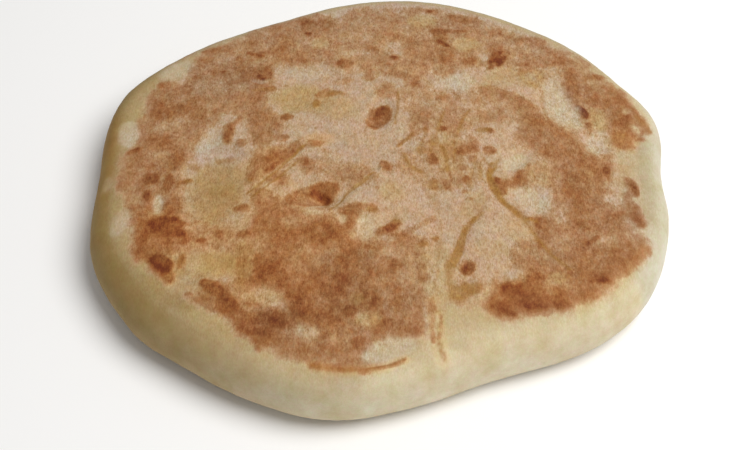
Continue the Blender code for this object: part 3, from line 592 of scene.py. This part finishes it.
# How far the edges of fields and of smaller marks are moved, and how steeply they fade.
FIELD_MOVE, FIELD_STEEPNESS = 0.9, 2.6
SMALL_MOVE, SMALL_STEEPNESS = 0.3, 4.0

# The levels that every point of the crust holds for its material. The low level is painted light on the
# lower flank; the toast and olive levels hold some painted shade, and the flour level one painted
# highlight.
CRUST_LEVELS = ("toast", "ochre", "flour", "yellow", "olive", "outer", "low", "warm")

# The camera, where the photograph was taken from.
CAMERA_TARGET = Vector((-2.5, -17.4, 11.5)) * MM
CAMERA_DISTANCE = 0.5
CAMERA_ELEVATION = radians(50)
CAMERA_LENS = 70.32
SENSOR_WIDTH = 36.0


def around(bearing, size, swells, steepness=2):
    """A size that changes round the bread."""
    for swell in swells:
        apart = (bearing - swell.bearing + 180) % 360 - 180
        size = size + swell.amount * np.exp(-(np.abs(apart / swell.spread) ** steepness))
    return size


def widest_radius(bearing):
    turn = np.radians(bearing)
    ellipse = 1 / np.hypot(np.cos(turn) / HALF_WIDTH, np.sin(turn) / HALF_DEPTH)
    return around(bearing, ellipse, OUTLINE_SWELLS)


def rim_radius(bearing):
    return widest_radius(bearing) - around(bearing, RIM_INSET, RIM_INSET_SWELLS)


def rim_height(bearing):
    return around(bearing, RIM_HEIGHT, RIM_HEIGHT_SWELLS)


def quarter_round(share, roundness):
    """How far out and how far along a rounded quarter is, both from 0 to 1."""
    turn = share * np.pi / 2
    return np.cos(turn) ** (2 / roundness), np.sin(turn) ** (2 / roundness)


def shoulder_point(bearing, share):
    """Radius and height from the widest level, at share 0, up to the rim, at share 1."""
    out, up = quarter_round(share, SHOULDER_ROUNDNESS)
    rim = rim_radius(bearing)
    radius = rim + (widest_radius(bearing) - rim) * out
    return radius, WIDEST_LEVEL + (rim_height(bearing) - WIDEST_LEVEL) * up


def foot_point(bearing, share):
    """Radius and height from the widest level, at share 0, down to the foot, at share 1."""
    out, down = quarter_round(share, FOOT_ROUNDNESS)
    height = np.full_like(bearing, WIDEST_LEVEL * (1 - down))
    return widest_radius(bearing) - FOOT_INSET * (1 - out), height


def place(bearing, radius):
    """The point at a bearing and a radius from the pole."""
    turn = np.radians(bearing)
    return POLE_X + radius * np.cos(turn), POLE_Y + radius * np.sin(turn)


def oval_reach(x, y, oval):
    """A place as seen from an oval, along it and across it, and how far out it is."""
    turn = radians(oval.turn)
    along = (x - oval.x) * np.cos(turn) + (y - oval.y) * np.sin(turn)
    across = (y - oval.y) * np.cos(turn) - (x - oval.x) * np.sin(turn)
    return along, across, np.hypot(along / oval.long, across / oval.wide)


def near_line(x, y, points):
    """The distance to a line of points, and how far along it the nearest place is."""
    nearest = np.full_like(x, np.inf)
    where = np.zeros_like(x)
    legs = list(zip(points, points[1:]))
    for number, ((ax, ay), (bx, by)) in enumerate(legs):
        span = (bx - ax) ** 2 + (by - ay) ** 2
        share = np.clip(((x - ax) * (bx - ax) + (y - ay) * (by - ay)) / span, 0, 1)
        apart = np.hypot(x - ax - share * (bx - ax), y - ay - share * (by - ay))
        where = np.where(apart < nearest, (number + share) / len(legs), where)
        nearest = np.minimum(apart, nearest)
    return nearest, where


def crease_depth(x, y, crease):
    nearest, where = near_line(x, y, crease.points)
    taper = 1 - np.abs(2 * where - 1) ** 4
    return crease.depth * taper * np.exp(-((nearest / crease.width) ** 2))


def relief(x, y):
    """How far the marks lift the top at a place."""
    lift = np.zeros_like(x)
    for oval in CRATERS + HOLLOWS + RISES:
        lift += oval.rise * np.exp(-(oval_reach(x, y, oval)[2] ** oval.steepness))
    return lift - sum(crease_depth(x, y, crease) for crease in CREASES)


def wander(x, y, layers):
    """A smooth random value in layers, each with the size that it changes over, seed and share."""
    total = np.zeros_like(x)
    for size, seed, share in layers:
        knots = np.random.default_rng(seed).uniform(-1, 1, (KNOTS, KNOTS))
        across, up = x / size + KNOTS / 2, y / size + KNOTS / 2
        column, row = np.floor(across).astype(int), np.floor(up).astype(int)
        s, t = across - column, up - row
        s, t = s * s * (3 - 2 * s), t * t * (3 - 2 * t)
        low = knots[row, column] * (1 - s) + knots[row, column + 1] * s
        high = knots[row + 1, column] * (1 - s) + knots[row + 1, column + 1] * s
        total += share * (low * (1 - t) + high * t)
    return total


def outside(x, y, mark):
    """How far a place is outside a mark. It is below 0 inside."""
    if isinstance(mark, Streak):
        return near_line(x, y, mark.points)[0] - mark.width
    if isinstance(mark, Blot):
        along, across, reach = oval_reach(x, y, mark)
        slope = np.hypot(along / mark.long**2, across / mark.wide**2)
        return reach * (reach - 1) / np.maximum(slope, 1e-6)
    closed = mark.outline + mark.outline[:1]
    edge = near_line(x, y, closed)[0]
    inside = np.zeros(x.shape, bool)
    for (ax, ay), (bx, by) in zip(closed, closed[1:]):
        if ay != by:
            crosses = (ay > y) != (by > y)
            inside ^= crosses & (x < ax + (y - ay) * (bx - ax) / (by - ay))
    return np.where(inside, -edge, edge)


def painted(x, y, marks):
    """The level that the marks leave at each place. Fields have the most uneven edges."""
    level = np.zeros_like(x)
    move_x, move_y = wander(x, y, UNEVEN_X), wander(x, y, UNEVEN_Y)
    for mark in marks:
        is_field = isinstance(mark, Field)
        move = FIELD_MOVE if is_field else SMALL_MOVE
        steepness = FIELD_STEEPNESS if is_field else SMALL_STEEPNESS
        apart = outside(x + move * move_x, y + move * move_y, mark)
        cover = 1 / (1 + np.exp(np.clip(steepness * apart / mark.soft, -30, 30)))
        level += (mark.level - level) * cover
    return level


def disc(cells):
    """Bearings and shares of the radius on a square grid that is pressed round."""
    line = np.linspace(-1, 1, cells + 1)
    u, v = (values.ravel() for values in np.meshgrid(line, line))
    wide = np.abs(u) >= np.abs(v)
    bearing = np.where(
        wide,
        45 * v / np.where(u == 0, 1, u),
        90 - 45 * u / np.where(v == 0, 1, v),
    )
    back = np.where(wide, u < 0, v < 0)
    return bearing + 180 * back, np.maximum(np.abs(u), np.abs(v))


def border(cells):
    """The numbers of the grid's border points, anticlockwise from its first corner."""
    wide = cells + 1
    front = list(range(cells))
    right = [cells + row * wide for row in range(cells)]
    back = [cells * wide + column for column in range(cells, 0, -1)]
    left = [row * wide for row in range(cells, 0, -1)]
    return front + right + back + left


def grid_faces(cells, first, facing_up):
    wide = cells + 1
    faces = []
    for row in range(cells):
        for column in range(cells):
            at = first + row * wide + column
            face = (at, at + 1, at + wide + 1, at + wide)
            faces.append(face if facing_up else face[::-1])
    return faces


def ring_faces(upper, lower):
    """Faces between two rings of as many points."""
    after = [*range(1, len(upper)), 0]
    return [(upper[at], lower[at], lower[to], upper[to]) for at, to in enumerate(after)]


def closing_faces(foot, under):
    """Faces between the foot and the underside's border, which has fewer points."""
    step = len(foot) // len(under)
    faces = []
    for number, at in enumerate(range(0, len(foot), step)):
        outer = [foot[(at + more) % len(foot)] for more in range(step, -1, -1)]
        faces.append((*outer, under[number], under[(number + 1) % len(under)]))
    return faces


def bread_shape():
    """The points of the bread, with how far down its flank each of them is, and the faces."""
    bearing, share = disc(TOP_CELLS)
    x, y = place(bearing, share * rim_radius(bearing))
    z = rim_height(bearing) + DOME_RISE * (1 - share**2) ** 2
    z += relief(x, y) * (1 - share**RELIEF_REACH)
    points = [np.stack((x, y, z, np.zeros_like(x)))]
    faces = grid_faces(TOP_CELLS, 0, True)
    ring = border(TOP_CELLS)
    bearing = bearing[ring]
    count = x.size
    steps = [(shoulder_point, row / SHOULDER_ROWS) for row in range(SHOULDER_ROWS - 1, -1, -1)]
    steps += [(foot_point, row / FOOT_ROWS) for row in range(1, FOOT_ROWS + 1)]
    for number, (flank_point, flank_share) in enumerate(steps, 1):
        radius, height = flank_point(bearing, flank_share)
        x, y = place(bearing, radius)
        points.append(np.stack((x, y, height, np.full_like(x, number / len(steps)))))
        lower = list(range(count, count + x.size))
        faces += ring_faces(ring, lower)
        ring = lower
        count += x.size
    bearing, share = disc(UNDER_CELLS)
    x, y = place(bearing, share * (foot_point(bearing, 1.0)[0] - UNDER_INSET))
    points.append(np.stack((x, y, np.zeros_like(x), np.full_like(x, UNDERSIDE))))
    faces += closing_faces(ring, [count + at for at in border(UNDER_CELLS)])
    faces += grid_faces(UNDER_CELLS, count, False)
    return np.concatenate(points, axis=1), faces


def ramp(values, low, high):
    """0 below low, 1 above high, and a straight slope between."""
    return np.clip((values - low) / (high - low), 0, 1)


def top_share(flank):
    """1 on the top, falling to 0 down the flank."""
    return np.clip(TOP_HOLD - TOP_FADE * flank, 0, 1)


def crust_levels(x, y, flank):
    """The levels that the material colours the crust by, at each point."""
    on_top = top_share(flank)
    under = flank == UNDERSIDE
    bearing = np.degrees(np.arctan2(y - POLE_Y, x - POLE_X))
    inwards = widest_radius(bearing) - np.hypot(x - POLE_X, y - POLE_Y)
    band = around(bearing, EDGE_BAND, EDGE_BAND_SWELLS, steepness=4)
    # The underside is browned in soft patches inside a pale edge.
    patches = wander(x, y, UNDER_PATCHES)
    inner = ramp(inwards + UNDER_WANDER * patches, UNDER_EDGE_FROM, UNDER_EDGE_TO)
    under_toast = np.clip(UNDER_TOAST + UNDER_CONTRAST * patches, 0, MOST_UNDER_TOAST)
    outer = np.maximum(1 - ramp(inwards, 0, band), ramp(flank, OUTER_FROM, OUTER_TO))
    outer = np.where(under, 1 - inner, outer)
    # Painted light: the lower flank, and the pale edge of the underside, are made lighter as if lit from
    # the floor.
    low = np.where(under, 1 - inner, ramp(flank, BOUNCE_LIGHT_FROM, BOUNCE_LIGHT_TO))
    toast = np.where(under, inner * under_toast, painted(x, y, TOAST_AND_SHADE) * on_top)
    ochre = painted(x, y, OCHRE) * on_top
    flour = painted(x, y, FLOUR_AND_HIGHLIGHT) * on_top
    yellow = painted(x, y, YELLOW) * ~under
    # Painted shade: the left flank and the back rim are made darker and more olive by bearing.
    olive = np.clip(around(bearing, 0, PAINTED_SHADE_SWELLS, steepness=4), 0, 1)
    olive = olive * np.clip(PAINTED_SHADE_GAIN * outer - PAINTED_SHADE_LOSS, 0, 1)
    # The olive marks add partly painted shade and partly the dough's own olive colour.
    olive = np.maximum(olive, painted(x, y, OLIVE_AND_SHADE) * ~under)
    warm = painted(x, y, WARM)
    return dict(zip(CRUST_LEVELS, (toast, ochre, flour, yellow, olive, outer, low, warm)))


def add_object(name, data):
    added = bpy.data.objects.new(name, data)
    bpy.context.scene.collection.objects.link(added)
    return added


class Flow:
    """A value in a node tree. Sums and products of it add the nodes for them."""

    def __init__(self, tree, socket=None):
        self.tree = tree
        self.socket = socket

    def node(self, kind, settings=None, sockets=None, output=0):
        """Adds a node, with its settings set first, and returns one of its outputs."""
        node = self.tree.nodes.new(kind)
        for name, value in (settings or {}).items():
            if name == "stops":
                lay_stops(node.color_ramp, value)
            else:
                setattr(node, name, value)
        for name, value in (sockets or {}).items():
            if isinstance(value, Flow):
                self.tree.links.new(value.socket, node.inputs[name])
            else:
                node.inputs[name].default_value = value
        return Flow(self.tree, node.outputs[output])

    def sum_of(self, operation, *values):
        return self.node("ShaderNodeMath", {"operation": operation}, dict(enumerate(values)))

    def __add__(self, other):
        return self.sum_of("ADD", self, other)

    __radd__ = __add__

    def __sub__(self, other):
        return self.sum_of("SUBTRACT", self, other)

    def __rsub__(self, other):
        return self.sum_of("SUBTRACT", other, self)

    def __mul__(self, other):
        return self.sum_of("MULTIPLY", self, other)

    __rmul__ = __mul__

    def __rtruediv__(self, other):
        return self.sum_of("DIVIDE", other, self)

    def over(self, low, high):
        """0 below low, 1 above high, and a soft step between."""
        return self.node(
            "ShaderNodeMapRange",
            {"interpolation_type": "SMOOTHSTEP"},
            {"Value": self, "From Min": low, "From Max": high},
        )

    def mixed(self, colour, other, share):
        """A colour that goes over into another by a share."""
        return self.node(
            "ShaderNodeMix",
            {"data_type": "RGBA", "blend_type": "MIX"},
            {0: share, 6: colour, 7: other},
            output=2,
        )

    def noise(self, dimensions, sockets):
        """Noise from -1 to 1."""
        return self.node("ShaderNodeTexNoise", {"noise_dimensions": dimensions}, sockets) * 2.0 - 1.0

    def multiplied(self, vector, factors):
        """A colour or a place, each of its three values multiplied by a factor."""
        return self.node(
            "ShaderNodeVectorMath", {"operation": "MULTIPLY"}, {0: vector, 1: factors}
        )


def lay_stops(scale, stops):
    while len(scale.elements) < len(stops):
        scale.elements.new(1.0)
    for element, (position, colour) in zip(scale.elements, stops):
        element.position = position
        element.color = colour


def srgb(red, green, blue):
    """A colour from its values on a screen, 0 to 255."""
    values = [value / 255 for value in (red, green, blue)]
    linear = [v / 12.92 if v <= 0.04045 else ((v + 0.055) / 1.055) ** 2.4 for v in values]
    return (*linear, 1.0)


PALE_DOUGH = srgb(181, 155, 131)
YELLOW_DOUGH = srgb(172, 144, 100)
KHAKI_RIM = srgb(183, 160, 121)
FLANK_DOUGH = srgb(197, 185, 156)
# Olive dough colour, laid on partly as painted shade.
OLIVE_AND_SHADE_DOUGH = srgb(148, 121, 72)
OCHRE_STREAK = srgb(147, 105, 44)
FLOUR_AND_HIGHLIGHT_WHITE = srgb(186, 171, 147)
TOASTS = (
    (0.0, srgb(180, 154, 129)),
    (0.2, srgb(174, 142, 110)),
    (0.35, srgb(166, 130, 95)),
    (0.5, srgb(158, 116, 80)),
    (0.65, srgb(147, 99, 58)),
    (0.8, srgb(131, 78, 37)),
    (0.9, srgb(118, 63, 24)),
    (1.0, srgb(103, 46, 13)),
)

# Factors that tint the crust. The first eight are four pairs of opposites.
COOL_TINT = (0.94, 1.0, 1.08, 1.0)
WARM_TINT = (1.13, 1.0, 0.76, 1.0)
PINK_TINT = (1.04, 0.94, 1.04, 1.0)
GREEN_TINT = (0.96, 1.06, 0.96, 1.0)
DARK_TINT = (0.62, 0.45, 0.22, 1.0)
LIGHT_TINT = (1.38, 1.55, 1.78, 1.0)
KHAKI_TINT = (0.88, 0.84, 0.72, 1.0)
CREAM_TINT = (1.12, 1.16, 1.28, 1.0)
GOLDEN_TINT = (1.0, 1.03, 0.84)
# Painted light that lightens the low flank, as if bounced up from the floor.
BOUNCE_LIGHT_TINT = (1.22, 1.26, 1.40)

# How much calmer the mottling is at the edge.
EDGE_CALM = 0.75

CRUST_ROUGHNESS = 0.78
CRUST_SPECULAR = 0.3
BUMP_STRENGTH = 0.5
BUMP_DEPTH = 0.25 * MM


def crust_material():
    material = bpy.data.materials.new("crust")
    material.use_nodes = True
    tree = material.node_tree
    shader = tree.nodes["Principled BSDF"]
    flow = Flow(tree)
    coordinates = flow.node("ShaderNodeTexCoord", output=3)

    def noise(size, detail, roughness, narrowing=0.65):
        """Noise in grains about size millimetres wide. Narrowing below 1 makes them longer."""
        return flow.noise(
            "3D",
            {
                "Vector": flow.multiplied(coordinates, (1.0, narrowing, 1.0)),
                "Scale": 1 / (size * MM),
                "Detail": detail,
                "Roughness": roughness,
            },
        )

    toast, ochre, flour, yellow, olive, outer, low, warm = (
        flow.node(
            "ShaderNodeAttribute", {"attribute_type": "GEOMETRY", "attribute_name": name}, output=2
        )
        for name in CRUST_LEVELS
    )
    warmth = noise(10.0, 5.0, 1.0)
    patches = noise(7.0, 2.0, 0.6, 0.8)
    mottle = noise(2.0, 3.0, 0.85)
    speckle = noise(2.6, 3.0, 0.65)
    grain = noise(0.45, 1.0, 0.8, 0.35)
    shading = noise(1.7, 2.0, 0.9)
    hue = noise(6.0, 5.0, 1.1)
    clouds = noise(9.0, 3.0, 0.65, 1.0)
    calm = 1.0 - EDGE_CALM * outer

    # Browned dough is more uneven than pale dough, in how browned it is and in its shade.
    browned = toast.over(0.0, 0.24)
    level = toast + browned * (0.36 * patches + 0.38 * mottle)
    shading_strength = 0.27 + 0.37 * browned
    grain_strength = 0.44 + 0.11 * browned
    shade = 0.5 + calm * (shading_strength * shading + grain_strength * grain)

    dough = flow.mixed(PALE_DOUGH, YELLOW_DOUGH, yellow)
    dough = flow.mixed(dough, KHAKI_RIM, outer.over(0.0, 0.5))
    dough = flow.mixed(dough, FLANK_DOUGH, outer.over(0.3, 0.95))
    # Partly painted shade: olive darkening on the left flank, the left shoulder and the back rim.
    dough = flow.mixed(dough, OLIVE_AND_SHADE_DOUGH, olive)
    # Painted light: the low flank is lightened, as if lit from the floor.
    dough = flow.mixed(dough, flow.multiplied(dough, BOUNCE_LIGHT_TINT), low)
    # The browning ramp also colours the painted shade in two craters.
    toasted = flow.node("ShaderNodeValToRGB", {"stops": TOASTS}, {"Fac": level})
    toasted = flow.mixed(toasted, flow.multiplied(toasted, GOLDEN_TINT), yellow)
    colour = flow.mixed(dough, toasted, level.over(0.0, 0.34))
    # Flour, and one painted highlight on the front flank.
    colour = flow.mixed(colour, FLOUR_AND_HIGHLIGHT_WHITE, flour * (0.9 + 0.4 * speckle))
    colour = flow.mixed(colour, OCHRE_STREAK, ochre * (0.9 + 0.3 * speckle))
    for tint, opposite, share in (
        (COOL_TINT, WARM_TINT, (warm + 2.0 * calm * warmth).over(-1.3, 1.3)),
        (PINK_TINT, GREEN_TINT, hue.over(-0.5, 0.5)),
        (DARK_TINT, LIGHT_TINT, shade),
        (KHAKI_TINT, CREAM_TINT, 0.5 + outer * clouds),
    ):
        colour = flow.multiplied(colour, flow.mixed(tint, opposite, share))
    bump = flow.node(
        "ShaderNodeBump",
        None,
        {
            "Strength": BUMP_STRENGTH,
            "Distance": BUMP_DEPTH,
            "Height": calm * (0.25 * grain + 0.35 * speckle),
        },
    )
    tree.links.new(colour.socket, shader.inputs["Base Color"])
    tree.links.new(bump.socket, shader.inputs["Normal"])
    shader.inputs["Roughness"].default_value = CRUST_ROUGHNESS
    shader.inputs["Specular IOR Level"].default_value = CRUST_SPECULAR
    return material


# Sizes of the fine relief, each set on its named input. Pale dough has a share of the blisters'
# height, and dough that browns has the second share added.
GRAIN_INPUTS = {
    "Wave Size": 11 * MM,
    "Wave Height": 0.35 * MM,
    "Blister Size": 3.2 * MM,
    "Blister Height": 0.16 * MM,
    "Pale Share": 0.4,
    "Browned Share": 1.2,
    "Grain Size": 1.7 * MM,
    "Grain Height": 0.07 * MM,
    "Seed": 4.0,
}


def grain_tree():
    """The nodes that roughen the crust and keep it from going below the floor."""
    tree = bpy.data.node_groups.new("crust relief", "GeometryNodeTree")
    tree.interface.new_socket("Geometry", in_out="INPUT", socket_type="NodeSocketGeometry")
    for name in GRAIN_INPUTS:
        tree.interface.new_socket(name, in_out="INPUT", socket_type="NodeSocketFloat")
    tree.interface.new_socket("Material", in_out="INPUT", socket_type="NodeSocketMaterial")
    tree.interface.new_socket("Geometry", in_out="OUTPUT", socket_type="NodeSocketGeometry")
    start = tree.nodes.new("NodeGroupInput")
    given = {socket.name: Flow(tree, socket) for socket in start.outputs if socket.name}
    flow = Flow(tree)
    position = flow.node("GeometryNodeInputPosition")
    normal = flow.node("GeometryNodeInputNormal")
    toast = flow.node("GeometryNodeInputNamedAttribute", {"data_type": "FLOAT"}, {"Name": "toast"})

    def bumps(kind, detail):
        scale = 1.0 / given[kind + " Size"]
        sockets = {"Vector": position, "W": given["Seed"], "Scale": scale, "Detail": detail}
        return flow.noise("4D", sockets) * given[kind + " Height"]

    blistering = given["Pale Share"] + given["Browned Share"] * toast
    height = bumps("Wave", 1.0) + bumps("Blister", 1.0) * blistering + bumps("Grain", 2.0)
    offset = flow.node("ShaderNodeVectorMath", {"operation": "SCALE"}, {0: normal, "Scale": height})
    shape = flow.node(
        "GeometryNodeSetPosition", None, {"Geometry": given["Geometry"], "Offset": offset}
    )
    moved = flow.node("GeometryNodeInputPosition")
    parts = tree.nodes.new("ShaderNodeSeparateXYZ")
    tree.links.new(moved.socket, parts.inputs[0])
    x, y, z = (Flow(tree, socket) for socket in parts.outputs)
    above = flow.sum_of("MAXIMUM", z, 0.0)
    landed = flow.node("ShaderNodeCombineXYZ", None, {"X": x, "Y": y, "Z": above})
    shape = flow.node("GeometryNodeSetPosition", None, {"Geometry": shape, "Position": landed})
    shape = flow.node("GeometryNodeRealizeInstances", None, {"Geometry": shape})
    shape = flow.node(
        "GeometryNodeSetMaterial", None, {"Geometry": shape, "Material": given["Material"]}
    )
    end = tree.nodes.new("NodeGroupOutput")
    tree.links.new(shape.socket, end.inputs["Geometry"])
    return tree


def grained(rough, material):
    """The roughened bread as a plain mesh, in place of the one that it was made from."""
    tree = grain_tree()
    modifier = rough.modifiers.new("crust relief", "NODES")
    modifier.node_group = tree
    values = {**GRAIN_INPUTS, "Material": material}
    for item in tree.interface.items_tree:
        if item.in_out == "INPUT" and item.name in values:
            modifier[item.identifier] = values[item.name]
    evaluated = rough.evaluated_get(bpy.context.evaluated_depsgraph_get())
    mesh = bpy.data.meshes.new_from_object(evaluated)
    mesh.name = "bread_crust"
    bpy.data.objects.remove(rough, do_unlink=True)
    return add_object("bread_crust", mesh)


# The floor's reach is in metres.
FLOOR_REACH = 4.0
FLOOR_COLOUR = (0.93, 0.93, 0.93, 1.0)
FLOOR_ROUGHNESS = 0.9


def lay_floor():
    mesh = bpy.data.meshes.new("floor")
    sides = ((-1, -1), (1, -1), (1, 1), (-1, 1))
    corners = [(across * FLOOR_REACH, along * FLOOR_REACH, 0) for across, along in sides]
    mesh.from_pydata(corners, [], [(0, 1, 2, 3)])
    material = bpy.data.materials.new("floor")
    material.use_nodes = True
    shader = material.node_tree.nodes["Principled BSDF"]
    shader.inputs["Base Color"].default_value = FLOOR_COLOUR
    shader.inputs["Roughness"].default_value = FLOOR_ROUGHNESS
    mesh.materials.append(material)
    floor = add_object("floor", mesh)


# The lamp's place and size are in metres, and its power is in watts.
LAMP_PLACE = (0.56, -0.08, 1.0)
LAMP_SIZE = 0.9
LAMP_POWER = 12.8
LAMP_COLOUR = (1.0, 0.985, 0.96)
SKY_COLOUR = (1.0, 1.0, 1.0, 1.0)
SKY_STRENGTH = 0.33


def light_scene():
    """A large soft lamp from the upper right, and pale light from all round."""
    lamp = bpy.data.lights.new("key", "AREA")
    lamp.shape = "DISK"
    lamp.size = LAMP_SIZE
    lamp.energy = LAMP_POWER
    lamp.color = LAMP_COLOUR
    key = add_object("key", lamp)
    key.location = LAMP_PLACE
    key.rotation_euler = (-key.location).to_track_quat("-Z", "Y").to_euler()
    world = bpy.data.worlds.new("studio")
    world.use_nodes = True
    background = world.node_tree.nodes["Background"]
    background.inputs["Color"].default_value = SKY_COLOUR
    background.inputs["Strength"].default_value = SKY_STRENGTH
    bpy.context.scene.world = world
    bpy.context.scene.view_settings.view_transform = "Standard"


def set_camera():
    lens = bpy.data.cameras.new("camera")
    lens.lens = CAMERA_LENS
    lens.sensor_width = SENSOR_WIDTH
    camera = add_object("camera", lens)
    back = Vector((0, -np.cos(CAMERA_ELEVATION), np.sin(CAMERA_ELEVATION)))
    camera.location = CAMERA_TARGET + back * CAMERA_DISTANCE
    camera.rotation_euler = (-back).to_track_quat("-Z", "Y").to_euler()
    bpy.context.scene.camera = camera


def main():
    (x, y, z, flank), faces = bread_shape()
    levels = crust_levels(x, y, flank)
    z = z + TOAST_RISE * levels["toast"] * top_share(flank)
    mesh = bpy.data.meshes.new("bread_crust")
    mesh.from_pydata((np.stack((x, y, z), axis=1) * MM).tolist(), [], faces)
    for name, values in levels.items():
        attribute = mesh.attributes.new(name, "FLOAT", "POINT")
        attribute.data.foreach_set("value", values.astype(np.float32))
    mesh.shade_smooth()
    rough = add_object("rough_bread", mesh)
    bread = grained(rough, crust_material())
    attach(bread, "root")
    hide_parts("bread")
    lay_floor()
    light_scene()
    set_camera()


main()
